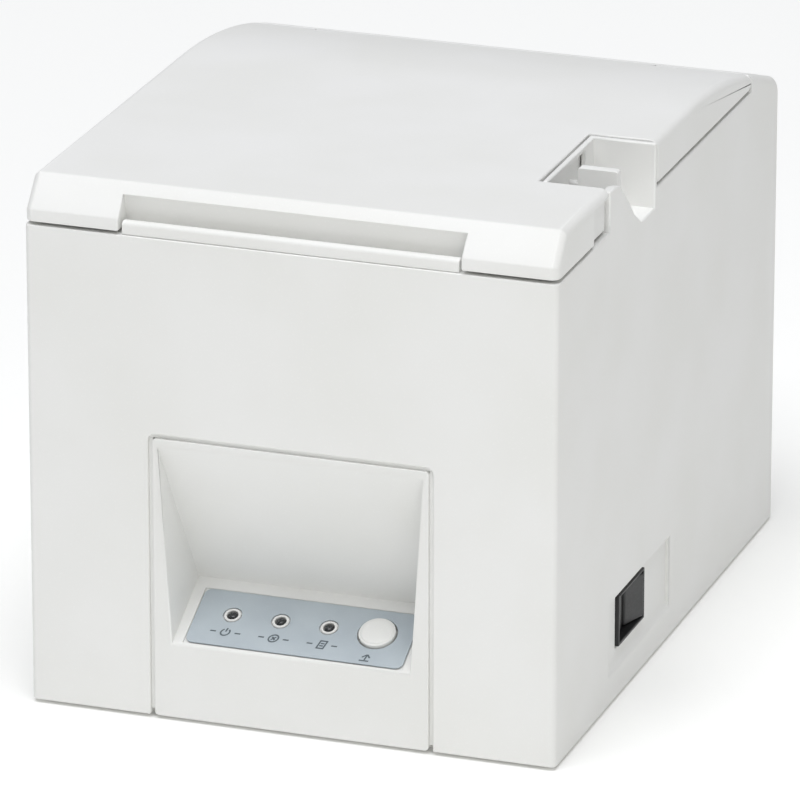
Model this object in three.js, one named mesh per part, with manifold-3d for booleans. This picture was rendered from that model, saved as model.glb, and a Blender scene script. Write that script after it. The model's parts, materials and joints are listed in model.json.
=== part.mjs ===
// Desktop thermal receipt printer for 80 mm rolls.
// Millimetres, +Z up, front towards -Y, origin at the middle of the footprint on the table.
import * as THREE from 'three';
import { mergeVertices } from 'three/addons/utils/BufferGeometryUtils.js';
import Module from 'manifold-3d';

const wasm = await Module();
wasm.setup();

// ---- Driving dimensions -------------------------------------------------------------------
const WIDTH = 145;
const DEPTH = 195;
const SIDE = WIDTH / 2;
const FRONT = -DEPTH / 2;
const REAR = DEPTH / 2;
const WALL = 2.5;
const FIT = 0.3; // gap between neighbouring pieces
const CASE_FLOOR = 1; // lower edge of the case above the table
const CASE_TOP = 133; // top of the deck and of the case walls
const LID_FLOOR = CASE_TOP + 1; // lower edge of the paper cover
const LID_TOP = 145.5;
const ROOF_START = 16; // the roof is flat in front of this and curves down behind it
const ROOF_RADIUS = 200;
const LID_SKIN = 2.2;
const BAND_TOP = 137.4; // top of the upright band along the cover's front
const BEVEL_DEPTH = 7; // how far the front bevel leans back
const SHOULDER = 2.5; // radius of the rounded side edges of the roof
const REAR_CORNER = 6; // radius where the roof turns down into the rear wall
const TAB_INNER = 46.6; // the cover's front tabs start this far from the middle
const HINGE_Y = 67.6;
const ROLL_WIDTH = 83;
const ROLL_RADIUS = 43.5;
const ROLL_Y = 22;
const ROLL_Z = 88.5;
const PANEL_HALF = 37.9;
const PANEL_TOP = 78.3;
const GROOVE = 1.2; // gap all round the front panel
const RECESS_TOP = 76.2;
const RECESS_MID = 32.6; // height where the recess is deepest
const RECESS_LOW = 21.6;
const RECESS_DEPTH = 22;
const RECESS_HALF_TOP = 36.4;
const RECESS_HALF_LOW = 32.9;
const RECESS_SKIN = 1.8;
const PLATEN_Y = -70;
const PLATEN_Z = 126;
const PLATEN_RADIUS = 6.5;
const SHAFT_RADIUS = 2.5;
const GEAR_MODULE = 0.8;
const PLATEN_TEETH = 20;
const IDLER_TEETH = 22;
const PINION_TEETH = 10;
const LATCH_Y = -52;
const LATCH_Z = 116;
const POCKET = { left: 54, front: -54.6, rear: -14.6, floor: 127.5 };
const CUTOUT = { left: 53.4, front: -55.6, rear: -14 };
const SWITCH = { y0: -42.7, y1: -20.4, z0: 13.9, z1: 28.3 };
const BAY_HALF = 58;
const BAY_TOP = 46;
const BAY_BACK = 78; // the bay's sockets are in a wall at this depth

const roofHeight = (y) => {
  const run = Math.max(0, y - ROOF_START);
  return LID_TOP - (ROOF_RADIUS - Math.sqrt(ROOF_RADIUS * ROOF_RADIUS - run * run));
};
const BARREL_RADIUS = (roofHeight(HINGE_Y) - LID_FLOOR) / 2;
const HINGE_Z = LID_FLOOR + BARREL_RADIUS;
const STRIP_FRONT = HINGE_Y + BARREL_RADIUS + 0.5;
const LID_ROOM_REAR = HINGE_Y - BARREL_RADIUS - 2.2; // the hollow of the cover ends here
const CORNER_Y = REAR - REAR_CORNER;
const CORNER_Z = roofHeight(CORNER_Y) - REAR_CORNER;
const SHELF_SLOPE = Math.atan2(RECESS_MID - RECESS_LOW, RECESS_DEPTH);

// ---- Materials ----------------------------------------------------------------------------
const material = (color, roughness, metalness = 0) => new THREE.MeshStandardMaterial({ color, roughness, metalness });
const finish = {
  whiteAbs: material(0xebebe9, 0.55),
  panelAbs: material(0xe6e6e4, 0.55),
  innerAbs: material(0xd9d9d6, 0.6),
  label: material(0xbdc5c9, 0.5),
  lens: material(0x4a4e50, 0.2),
  blackPlastic: material(0x1c1c1d, 0.45),
  rubber: material(0x2b2b2c, 0.9),
  steel: material(0xb9bcbe, 0.35, 1),
  zincSteel: material(0xc4c7c8, 0.45, 1),
  aluminium: material(0xc2c4c6, 0.4, 1),
  ceramic: material(0xd8cfc0, 0.35),
  acetal: material(0xf1efe8, 0.4),
  board: material(0x1f6b45, 0.5),
};

// ---- Solids -------------------------------------------------------------------------------
function solid(geometry) {
  const bare = geometry.clone();
  bare.deleteAttribute('normal');
  bare.deleteAttribute('uv');
  const merged = mergeVertices(bare, 1e-4);
  const vertProperties = new Float32Array(merged.attributes.position.array);
  const triVerts = new Uint32Array(merged.index.array);
  return new wasm.Manifold(new wasm.Mesh({ numProp: 3, vertProperties, triVerts }));
}

function block(x0, x1, y0, y1, z0, z1) {
  const box = new THREE.BoxGeometry(x1 - x0, y1 - y0, z1 - z0);
  return solid(box.translate((x0 + x1) / 2, (y0 + y1) / 2, (z0 + z1) / 2));
}

function extruded(points, depth, holes = []) {
  const shape = new THREE.Shape(points.map(([u, v]) => new THREE.Vector2(u, v)));
  for (const hole of holes) shape.holes.push(new THREE.Path(hole.map(([u, v]) => new THREE.Vector2(u, v))));
  return new THREE.ExtrudeGeometry(shape, { depth, bevelEnabled: false });
}

const axes = {
  x: new THREE.Matrix4().makeBasis(
    new THREE.Vector3(0, 1, 0), new THREE.Vector3(0, 0, 1), new THREE.Vector3(1, 0, 0)),
  y: new THREE.Matrix4().makeBasis(
    new THREE.Vector3(1, 0, 0), new THREE.Vector3(0, 0, 1), new THREE.Vector3(0, -1, 0)),
  z: new THREE.Matrix4(),
};

// An outline in (y, z) carried along X.
const alongX = (points, x0, x1, holes) => solid(
  extruded(points, x1 - x0, holes).translate(0, 0, x0).applyMatrix4(axes.x));
// An outline in (x, z) carried along Y.
const alongY = (points, y0, y1, holes) => solid(
  extruded(points, y1 - y0, holes).translate(0, 0, -y1).applyMatrix4(axes.y));
// An outline in (x, y) carried along Z.
const alongZ = (points, z0, z1, holes) => solid(extruded(points, z1 - z0, holes).translate(0, 0, z0));

const carry = { x: alongX, y: alongY, z: alongZ };

function arc(u, v, radius, fromDeg, toDeg, steps) {
  const points = [];
  for (let i = 0; i <= steps; i += 1) {
    const a = THREE.MathUtils.degToRad(fromDeg + ((toDeg - fromDeg) * i) / steps);
    points.push([u + radius * Math.cos(a), v + radius * Math.sin(a)]);
  }
  return points;
}

const circle = (u, v, radius, sides = 24) => arc(u, v, radius, 0, 360 - 360 / sides, sides - 1);
const rod = (axis, u, v, radius, from, to, sides = 24) => carry[axis](circle(u, v, radius, sides), from, to);
const ring = (axis, u, v, outer, inner, from, to, sides = 24) => carry[axis](
  circle(u, v, outer, sides), from, to, [circle(u, v, inner, sides)]);

function roundedRect(u0, u1, v0, v1, radius, steps = 4) {
  return [
    ...arc(u1 - radius, v0 + radius, radius, -90, 0, steps),
    ...arc(u1 - radius, v1 - radius, radius, 0, 90, steps),
    ...arc(u0 + radius, v1 - radius, radius, 90, 180, steps),
    ...arc(u0 + radius, v0 + radius, radius, 180, 270, steps),
  ];
}

const union = (...solids) => solids.reduce((a, b) => a.add(b));
const cut = (body, ...tools) => tools.reduce((a, b) => a.subtract(b), body);
const mirrored = (make) => [make(-1), make(1)];
const spanX = (side, near, far) => (side > 0 ? [near, far] : [-far, -near]);

function coil(radius, wire, turns, length, sides = 6) {
  class Helix extends THREE.Curve {
    getPoint(t, target = new THREE.Vector3()) {
      const a = 2 * Math.PI * turns * t;
      return target.set(radius * Math.cos(a), radius * Math.sin(a), length * t);
    }
  }
  const section = new THREE.Shape(circle(0, 0, wire, sides).map(([u, v]) => new THREE.Vector2(u, v)));
  return new THREE.ExtrudeGeometry(section, { steps: turns * 12, extrudePath: new Helix(), bevelEnabled: false });
}

// Spur gear outline about (u, v): straight-flanked teeth, a little thin so that the mesh has backlash.
function gearOutline(u, v, teeth, toothAngle) {
  const pitchRadius = (teeth * GEAR_MODULE) / 2;
  const tip = pitchRadius + GEAR_MODULE * 0.85;
  const root = pitchRadius - GEAR_MODULE * 1.2;
  const pitch = 360 / teeth;
  const points = [];
  for (let i = 0; i < teeth; i += 1) {
    const a = toothAngle + i * pitch;
    points.push(...arc(u, v, root, a - pitch * 0.33, a - pitch * 0.33, 1).slice(0, 1));
    points.push(...arc(u, v, tip, a - pitch * 0.11, a + pitch * 0.11, 1));
    points.push(...arc(u, v, root, a + pitch * 0.33, a + pitch * 0.33, 1).slice(0, 1));
  }
  return points;
}

const gearWheel = (u, v, teeth, toothAngle, bore, x0, x1) => alongX(
  gearOutline(u, v, teeth, toothAngle), x0, x1, [circle(u, v, bore, 16)]);

// ---- Scene graph --------------------------------------------------------------------------
const printer = new THREE.Group();

function piece(name, shape, look, parent = printer) {
  let geometry = shape;
  if (!shape.isBufferGeometry) {
    const mesh = shape.getMesh();
    geometry = new THREE.BufferGeometry();
    geometry.setAttribute('position', new THREE.BufferAttribute(new Float32Array(mesh.vertProperties), 3));
    geometry.setIndex(new THREE.BufferAttribute(new Uint32Array(mesh.triVerts), 1));
    geometry.computeVertexNormals();
  }
  const part = new THREE.Mesh(geometry, look);
  part.name = name;
  parent.add(part);
  return part;
}

// ---- Outer case ---------------------------------------------------------------------------
function roofLine(from, to, drop, steps) {
  const points = [];
  for (let i = 0; i <= steps; i += 1) {
    const y = from + ((to - from) * i) / steps;
    points.push([y, roofHeight(y) - drop]);
  }
  return points;
}

function plan(x, y0, y1, frontRadius, rearRadius) {
  return [
    ...arc(x - frontRadius, y0 + frontRadius, frontRadius, -90, 0, 4),
    ...arc(x - rearRadius, y1 - rearRadius, rearRadius, 0, 90, 4),
    ...arc(-x + rearRadius, y1 - rearRadius, rearRadius, 90, 180, 4),
    ...arc(-x + frontRadius, y0 + frontRadius, frontRadius, 180, 270, 4),
  ];
}

// A side outline carried over the full width, with the rims of both sides rounded.
function roundShouldered(points) {
  const shape = new THREE.Shape(points.map(([u, v]) => new THREE.Vector2(u, v)));
  const bar = new THREE.ExtrudeGeometry(shape, {
    depth: WIDTH - 2 * SHOULDER, bevelEnabled: true, bevelThickness: SHOULDER, bevelSize: SHOULDER,
    bevelOffset: -SHOULDER, bevelSegments: 5 });
  return solid(bar.translate(0, 0, SHOULDER - SIDE).applyMatrix4(axes.x));
}

function caseBlank() {
  const corner = arc(CORNER_Y, CORNER_Z, REAR_CORNER, 0, 66, 6);
  const side = [
    [FRONT, CASE_FLOOR], [REAR, CASE_FLOOR], ...corner,
    ...roofLine(CORNER_Y, STRIP_FRONT + 0.8, 0, 6).slice(1),
    [STRIP_FRONT, roofHeight(STRIP_FRONT) - 0.8], [STRIP_FRONT, CASE_TOP], [FRONT, CASE_TOP],
  ];
  const strip = [
    [ROOF_START, -10], [REAR, -10], ...corner,
    ...roofLine(CORNER_Y, STRIP_FRONT + 0.8, 0, 6).slice(1),
    ...roofLine(STRIP_FRONT + 0.8, ROOF_START, 0, 5).slice(1),
  ];
  const walls = block(-SIDE, SIDE, FRONT, STRIP_FRONT + 0.4, CASE_FLOOR, CASE_TOP);
  return alongX(side, -SIDE, SIDE)
    .intersect(roundShouldered(strip).add(walls))
    .intersect(alongZ(plan(SIDE, FRONT, REAR, 1.5, SHOULDER), 0, 150));
}

function caseHollow() {
  const inner = SIDE - WALL;
  return alongX([
    [FRONT + WALL, 0], [REAR - WALL, 0], [REAR - WALL, CORNER_Z],
    ...roofLine(CORNER_Y, STRIP_FRONT + WALL, WALL, 4),
    [STRIP_FRONT + WALL, CASE_TOP - WALL], [FRONT + WALL, CASE_TOP - WALL],
  ], -inner, inner);
}

function deckOpenings() {
  return union(
    block(-44, 44, FRONT + 7, 67.6, 120, 140),
    block(-55, 51, FRONT + 7, -46.5, 120, 140),
    block(43, POCKET.left + 0.2, -53, -15.4, 120, 140));
}

// Pocket that stands up through the cover, with the finger notch in the case's side wall.
function leverPocket() {
  const shell = block(POCKET.left, SIDE, POCKET.front, POCKET.rear, POCKET.floor - 1.5, LID_TOP - 0.3);
  const room = block(POCKET.left + 1.4, SIDE - WALL, POCKET.front + 1.4, POCKET.rear - 1.5, POCKET.floor, 150);
  const slot = block(POCKET.left - 1, POCKET.left + 2, -36.6, -22.8, POCKET.floor + 0.4, 143.4);
  const notch = alongX([
    [POCKET.front - 1, 144.2], [-50, 144.1], [-46, 143.1], [-42.6, 140.2], [-38, 136], [-33.6, 131.4],
    [-27.4, POCKET.floor], [POCKET.rear - 1.5, POCKET.floor], [POCKET.rear - 1.5, 150], [POCKET.front - 1, 150],
  ], POCKET.left + 1.4, SIDE + 1);
  return cut(shell, room, slot, notch);
}

function switchSeat() {
  const recess = alongX([
    [-52.4, 8.6], [0.6, 8.6], [0.6, 29.4], [-52.4, 29.4],
  ], SIDE - 1.3, SIDE + 1);
  const ramp = alongY([[SIDE - 1.4, 11.2], [SIDE + 0.1, 8.5], [SIDE - 1.4, 8.5]], -52.5, 0.7);
  const hole = block(SIDE - 4, SIDE + 1, SWITCH.y0 - FIT, SWITCH.y1 + FIT, SWITCH.z0 - FIT, SWITCH.z1 + FIT);
  return recess.subtract(ramp).add(hole);
}

function screwBoss(x, y) {
  const out = Math.sign(x) * (SIDE - WALL + 0.5);
  const [x0, x1] = [Math.min(x - Math.sign(x) * 4, out), Math.max(x - Math.sign(x) * 4, out)];
  const [y0, y1] = y > 0 ? [y - 4, REAR - WALL + 0.5] : [FRONT + WALL - 0.5, y + 4];
  return block(x0, x1, y0, y1, 4, 34).subtract(rod('z', x, y, 1.3, 3, 24, 12));
}

const SCREW_SPOTS = [[-65.5, -88.5], [65.5, -88.5], [-65.5, 89], [65.5, 89]];

function hingeEars() {
  return mirrored((side) => {
    const [x0, x1] = spanX(side, 46, 52);
    const knuckle = rod('x', HINGE_Y, HINGE_Z, BARREL_RADIUS - 0.15, x0, x1);
    const arm = block(x0, x1, HINGE_Y, STRIP_FRONT + 1, HINGE_Z - BARREL_RADIUS + 0.4,
      roofHeight(STRIP_FRONT + 1) - FIT);
    return knuckle.add(arm);
  });
}

function upperCase() {
  const opening = PANEL_HALF + GROOVE;
  let body = cut(caseBlank(), caseHollow(), deckOpenings());
  body = body.subtract(block(POCKET.left, SIDE + 1, POCKET.front, POCKET.rear, POCKET.floor - 1, 150));
  body = union(body, leverPocket(), ...hingeEars());
  body = body.subtract(switchSeat());
  body = union(body, ...SCREW_SPOTS.map(([x, y]) => screwBoss(x, y)));
  const bayWindow = BAY_HALF + 2.1;
  return cut(
    body,
    alongY(roundedRect(-opening, opening, -10, PANEL_TOP + GROOVE, 2, 3), FRONT - 1, FRONT + WALL + 0.5),
    block(-bayWindow, bayWindow, REAR - WALL - 1, REAR + 1, 0, BAY_TOP + 2.1),
    rod('x', HINGE_Y, HINGE_Z, 1.3, -60, 60, 12));
}

function buildCase() {
  piece('upper_case', upperCase(), finish.whiteAbs);
  const lip = [
    [FRONT + 0.6, CASE_TOP + FIT], [FRONT + 0.6, 135.8], [FRONT + 1, 136.4], [FRONT + 1.8, 136.6],
    [FRONT + 2.9, 136.5], [FRONT + 4.1, 135.8], [FRONT + 6.1, CASE_TOP + FIT + 0.7], [FRONT + 6.1, CASE_TOP + FIT],
  ];
  piece('paper_exit_lip', alongX(lip, -TAB_INNER + 0.8, TAB_INNER - 0.8), finish.whiteAbs);
}

// ---- Base ---------------------------------------------------------------------------------
const FOOT_SPOTS = [[-56, -78], [56, -78], [-56, 70], [56, 70]];
const BOARD_POSTS = [[-55, -50], [55, -50], [-55, 55], [55, 55]];

function basePlate() {
  const top = CASE_FLOOR + 2.4;
  const half = SIDE - WALL - FIT;
  let plate = block(-half, half, FRONT + WALL + 0.4, REAR - WALL - FIT, CASE_FLOOR, top);
  plate = union(plate, ...BOARD_POSTS.map(([x, y]) => rod('z', x, y, 3, top - 0.5, 11.7, 16)));
  const feet = FOOT_SPOTS.map(([x, y]) => rod('z', x, y, 6.4, 0, CASE_FLOOR + 1.6));
  const holes = SCREW_SPOTS.map(([x, y]) => rod('z', x, y, 1.8, 0, 5, 16).add(rod('z', x, y, 3.4, 0, CASE_FLOOR + 1, 16)));
  const vents = [];
  for (let i = 0; i < 7; i += 1) vents.push(block(-24 + i * 8, -21 + i * 8, -30, 10, 0, 5));
  return cut(plate, ...feet, ...holes, ...vents);
}

function screw(x, y) {
  return union(
    rod('z', x, y, 3.1, CASE_FLOOR + 0.1, CASE_FLOOR + 0.75, 16),
    rod('z', x, y, 1, CASE_FLOOR + 0.5, 18, 12)).subtract(block(x - 2, x + 2, y - 0.4, y + 0.4, 0, CASE_FLOOR + 0.45));
}

function buildBase() {
  const corners = ['front_left', 'front_right', 'rear_left', 'rear_right'];
  piece('base_plate', basePlate(), finish.innerAbs);
  corners.forEach((corner, i) => {
    const [fx, fy] = FOOT_SPOTS[i];
    piece(`rubber_foot_${corner}`, rod('z', fx, fy, 6, 0, CASE_FLOOR + 1.3), finish.rubber);
    const [sx, sy] = SCREW_SPOTS[i];
    piece(`base_screw_${corner}`, screw(sx, sy), finish.zincSteel);
  });
}

// ---- Front panel and controls -------------------------------------------------------------
const shelf = new THREE.Group();
shelf.position.set(0, FRONT, RECESS_LOW);
shelf.rotation.x = SHELF_SLOPE;
shelf.updateMatrix();
printer.add(shelf);

const onShelf = (body) => {
  const mesh = body.getMesh();
  const geometry = new THREE.BufferGeometry();
  geometry.setAttribute('position', new THREE.BufferAttribute(new Float32Array(mesh.vertProperties), 3));
  geometry.setIndex(new THREE.BufferAttribute(new Uint32Array(mesh.triVerts), 1));
  return solid(geometry.applyMatrix4(shelf.matrix));
};

const LABEL = { half: 30, low: 1.6, high: 20.6 };
const CONTROL_LINE = 12.5; // distance of the lights and the button up the shelf
const CONTROL_PITCH = 13.4;
const LIGHTS = ['power_light', 'error_light', 'paper_light'];
const lightX = (i) => CONTROL_PITCH * (i - 1.5);
const BUTTON_X = CONTROL_PITCH * 1.5;
const BUTTON_RADIUS = 4.95;

function recessWedge(grow) {
  const back = [
    [FRONT - 1, RECESS_TOP], [FRONT, RECESS_TOP],
    [FRONT + RECESS_DEPTH, RECESS_MID], [FRONT, RECESS_LOW], [FRONT - 1, RECESS_LOW],
  ];
  const skin = [
    [FRONT + 1.6, RECESS_TOP + 1.5], [FRONT + RECESS_DEPTH + 2.4, RECESS_MID - 0.8],
    [FRONT + 1.6, RECESS_LOW - 1.2],
  ];
  const low = RECESS_LOW - 2;
  const high = RECESS_TOP + 2;
  const slope = (RECESS_HALF_TOP - RECESS_HALF_LOW) / (RECESS_TOP - RECESS_LOW);
  const half = (z) => RECESS_HALF_LOW + (z - RECESS_LOW) * slope + grow;
  const front = [[-half(low), low], [half(low), low], [half(high), high], [-half(high), high]];
  const side = alongX(grow > 0 ? skin : back, -45, 45);
  return side.intersect(alongY(front, FRONT - 2, FRONT + RECESS_DEPTH + 4));
}

function shelfHoles() {
  const tools = [block(-LABEL.half - FIT, LABEL.half + FIT, LABEL.low - FIT, LABEL.high + FIT, -0.5, 1)];
  LIGHTS.forEach((_, i) => tools.push(rod('z', lightX(i), CONTROL_LINE, 1.55, -4, 2, 16)));
  tools.push(rod('z', BUTTON_X, CONTROL_LINE, BUTTON_RADIUS + 0.45, -4, 2, 32));
  return tools.map(onShelf);
}

function lightRings() {
  return LIGHTS.map((_, i) => onShelf(ring('z', lightX(i), CONTROL_LINE, 2.3, 1.55, -0.7, 0.25, 16)));
}

function frontPanel() {
  const plate = alongY(
    roundedRect(-PANEL_HALF, PANEL_HALF, CASE_FLOOR, PANEL_TOP, 1, 3), FRONT, FRONT + WALL);
  const flange = block(-PANEL_HALF - 4, PANEL_HALF + 4, FRONT + 2.8, FRONT + 4.2, 4.2, PANEL_TOP + 4);
  const tie = block(-PANEL_HALF, PANEL_HALF, FRONT + 2, FRONT + 3, 4.2, PANEL_TOP);
  let body = union(plate, flange, tie, recessWedge(RECESS_SKIN)).subtract(recessWedge(0));
  body = cut(body, ...shelfHoles());
  return union(body, ...lightRings());
}

function controlLabel() {
  const holes = LIGHTS.map((_, i) => circle(lightX(i), CONTROL_LINE, 2.6, 20));
  holes.push(circle(BUTTON_X, CONTROL_LINE, BUTTON_RADIUS + 0.45, 32));
  return alongZ(roundedRect(-LABEL.half, LABEL.half, LABEL.low, LABEL.high, 2, 4), -0.2, 0.15, holes);
}

function feedButton() {
  return union(
    rod('z', BUTTON_X, CONTROL_LINE, BUTTON_RADIUS, -3, 0.9, 32),
    rod('z', BUTTON_X, CONTROL_LINE, BUTTON_RADIUS - 0.5, 0.5, 1.3, 32),
    rod('z', BUTTON_X, CONTROL_LINE, 6.2, -3.2, -2.2, 32),
    rod('z', BUTTON_X, CONTROL_LINE, 1.5, -5.1, -3, 16));
}

function panelBoard() {
  const posts = [-27, 27].map((x) => rod('z', x, 6, 2, -9.4, -8.2, 12));
  const chip = block(-6, 2, 4, 9, -9.4, -8);
  const key = block(BUTTON_X - 3, BUTTON_X + 3, CONTROL_LINE - 3, CONTROL_LINE + 3, -9.4, -6.3);
  return union(block(-31, 31, 3, 21.5, -10.6, -9), chip, key, ...posts);
}

function buildControls() {
  piece('front_panel', frontPanel(), finish.panelAbs);
  piece('control_label', controlLabel(), finish.label, shelf);
  LIGHTS.forEach((name, i) => {
    piece(name, rod('z', lightX(i), CONTROL_LINE, 1.2, -8.6, 0.35, 16), finish.lens, shelf);
  });
  piece('feed_button', feedButton(), finish.whiteAbs, shelf);
  const spring = piece('button_spring', coil(4.9, 0.3, 4, 3.5), finish.steel, shelf);
  spring.position.set(BUTTON_X, CONTROL_LINE, -8.4);
  piece('panel_board', panelBoard(), finish.board, shelf);
}

// ---- Paper cover --------------------------------------------------------------------------
function lidBlank() {
  const side = [
    [FRONT, LID_FLOOR], [FRONT, BAND_TOP - 0.4], [FRONT + 0.3, BAND_TOP + 0.2],
    [FRONT + BEVEL_DEPTH - 0.7, LID_TOP - 0.5], [FRONT + BEVEL_DEPTH + 0.5, LID_TOP],
    ...roofLine(ROOF_START, HINGE_Y, 0, 8),
    ...arc(HINGE_Y, HINGE_Z, BARREL_RADIUS, 74, -90, 10),
  ];
  const over = [
    [FRONT, LID_FLOOR - 30], [FRONT, BAND_TOP], [FRONT + BEVEL_DEPTH, LID_TOP],
    ...roofLine(ROOF_START, HINGE_Y, 0, 8), ...roofLine(HINGE_Y, REAR, 0, 3).slice(1), [REAR, LID_FLOOR - 30],
  ];
  return alongX(side, -SIDE, SIDE).intersect(roundShouldered(over));
}

function lidHollow() {
  const inner = SIDE - LID_SKIN - 0.2;
  const middle = [
    [-88.6, LID_FLOOR - 1], [-88.6, LID_TOP - LID_SKIN], ...roofLine(ROOF_START, LID_ROOM_REAR, LID_SKIN, 5),
    [LID_ROOM_REAR, LID_FLOOR - 1],
  ];
  const tab = [
    [FRONT + 2.4, LID_FLOOR - 1], [FRONT + 2.4, BAND_TOP - 0.6],
    [FRONT + BEVEL_DEPTH + 1.4, LID_TOP - LID_SKIN], [-88, LID_TOP - LID_SKIN], [-88, LID_FLOOR - 1],
  ];
  const tabs = mirrored((side) => alongX(tab, ...spanX(side, TAB_INNER + 2.2, inner)));
  return union(alongX(middle, -inner, inner), ...tabs);
}

function paperCover() {
  const exitNotch = alongX([
    [FRONT - 1, LID_FLOOR - 1], [-91, LID_FLOOR - 1], [-91, 135.6], [-92.3, 142.2], [-93.2, 142.5],
    [FRONT - 1, 142.5],
  ], -TAB_INNER, TAB_INNER);
  const leverCutout = block(CUTOUT.left, SIDE + 1, CUTOUT.front, CUTOUT.rear, LID_FLOOR - 1, LID_TOP + 1);
  const grip = alongZ([
    [SIDE - 1.2, -66], [SIDE + 1, -70], [SIDE + 1, CUTOUT.front + 1], [SIDE - 1.2, CUTOUT.front + 1],
  ], LID_FLOOR - 1, 143.2);
  const earNotches = mirrored((side) => block(
    ...spanX(side, 45.7, 52.3), HINGE_Y - BARREL_RADIUS - 0.15, HINGE_Y + 5, LID_FLOOR - 1, LID_TOP));
  const bores = mirrored((side) => rod('x', HINGE_Y, HINGE_Z, 1.3, ...spanX(side, 42.6, 55.4), 12));
  const ribs = mirrored((side) => block(
    ...spanX(side, TAB_INNER + 6, TAB_INNER + 7.4), FRONT + 8.5, -80, LID_TOP - 5, LID_TOP - 1.5));
  return cut(lidBlank(), lidHollow(), exitNotch, leverCutout, grip, ...earNotches, ...bores).add(union(...ribs));
}

function coverFrame() {
  const half = SIDE - LID_SKIN - 0.2 - FIT;
  const plate = alongZ([
    [-half, -88], [-47, -88], [-47, -81.9], [47, -81.9], [47, -88], [half, -88], [half, -58], [49.4, -58],
    [49.4, -11.8], [half, -11.8], [half, LID_ROOM_REAR - 0.4], [-half, LID_ROOM_REAR - 0.4],
  ], 134.6, 136.4);
  const ears = mirrored((side) => alongX(
    [[-76, 134.8], [-75, 123], [-71.5, 120.6], [-68.5, 120.6], [-65, 123], [-64, 134.8]], ...spanX(side, 43, 45.6)));
  const windows = [
    block(-53.6, -48.2, -80, -60, 130, 140),
    ...mirrored((side) => block(...spanX(side, 39.9, 42.8), -72, -54, 130, 140)),
  ];
  const ribs = [-30, -10, 10, 30].map((x) => block(x - 0.8, x + 0.8, -50, 50, 136, 139));
  const side = union(plate, ...ears, ...ribs);
  const boss = mirrored((s) => rod('x', PLATEN_Y, PLATEN_Z, 4.1, ...spanX(s, 42, 47)));
  return cut(side, ...windows, ...boss);
}

function buildCover() {
  piece('paper_cover', paperCover(), finish.whiteAbs);
  piece('cover_frame', coverFrame(), finish.innerAbs);
  piece('fixed_blade', block(-43, 43, -83.2, -82.2, 131, 138.6), finish.steel);
  for (const [side, name] of [[-1, 'left'], [1, 'right']]) {
    piece(`hinge_pin_${name}`, rod('x', HINGE_Y, HINGE_Z, 1, ...spanX(side, 43, 55), 12), finish.steel);
  }
}

// ---- Platen, gears and motor --------------------------------------------------------------
const IDLER_Z = PLATEN_Z - (GEAR_MODULE * (PLATEN_TEETH + IDLER_TEETH)) / 2 - 0.12;
const PINION_DIRECTION = -25;
const PINION_DISTANCE = (GEAR_MODULE * (IDLER_TEETH + PINION_TEETH)) / 2 + 0.12;
const PINION_Y = PLATEN_Y + PINION_DISTANCE * Math.cos(THREE.MathUtils.degToRad(PINION_DIRECTION));
const PINION_Z = IDLER_Z + PINION_DISTANCE * Math.sin(THREE.MathUtils.degToRad(PINION_DIRECTION));
const GEAR_X = [-52, -49.2];

// Tooth angle of a gear that meshes with its driver: a gap faces the driver's nearest tooth.
function meshedAngle(driverTeeth, driverAngle, teeth, direction) {
  const driverPitch = 360 / driverTeeth;
  const nearest = Math.round((direction - driverAngle) / driverPitch) * driverPitch + driverAngle;
  const turn = ((nearest - direction) * driverTeeth) / teeth;
  return direction + 180 - turn + 180 / teeth;
}

function buildPlaten() {
  piece('platen_roller', ring('x', PLATEN_Y, PLATEN_Z, PLATEN_RADIUS, SHAFT_RADIUS + FIT, -39.5, 39.5, 32), finish.rubber);
  piece('platen_shaft', rod('x', PLATEN_Y, PLATEN_Z, SHAFT_RADIUS, -52.6, 48.8, 24), finish.steel);
  const platenAngle = -90;
  const idlerAngle = meshedAngle(PLATEN_TEETH, platenAngle, IDLER_TEETH, -90);
  const pinionAngle = meshedAngle(IDLER_TEETH, idlerAngle, PINION_TEETH, PINION_DIRECTION);
  piece('platen_gear', gearWheel(
    PLATEN_Y, PLATEN_Z, PLATEN_TEETH, platenAngle, SHAFT_RADIUS + FIT, ...GEAR_X), finish.acetal);
  piece('idler_gear', gearWheel(PLATEN_Y, IDLER_Z, IDLER_TEETH, idlerAngle, 1.8, ...GEAR_X), finish.acetal);
  const pinion = alongX(gearOutline(PINION_Y, PINION_Z, PINION_TEETH, pinionAngle), ...GEAR_X);
  piece('motor_pinion', pinion.add(rod('x', PINION_Y, PINION_Z, 1, -60, -51.5, 16)), finish.steel);
  for (const [side, name] of [[-1, 'left'], [1, 'right']]) {
    const bush = ring('x', PLATEN_Y, PLATEN_Z, 3.8, SHAFT_RADIUS + FIT, ...spanX(side, 42.9, 46.4));
    piece(`platen_bush_${name}`, bush, finish.acetal);
  }
}

function buildMotor() {
  const can = rod('x', PINION_Y, PINION_Z, 10, -69.4, -54.4, 32);
  piece('feed_motor', can.subtract(rod('x', PINION_Y, PINION_Z, 1.3, -61, -54, 16)), finish.zincSteel);
  piece('idler_axle', rod('x', PLATEN_Y, IDLER_Z, 1.5, -54.8, -46, 16), finish.steel);
}

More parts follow.
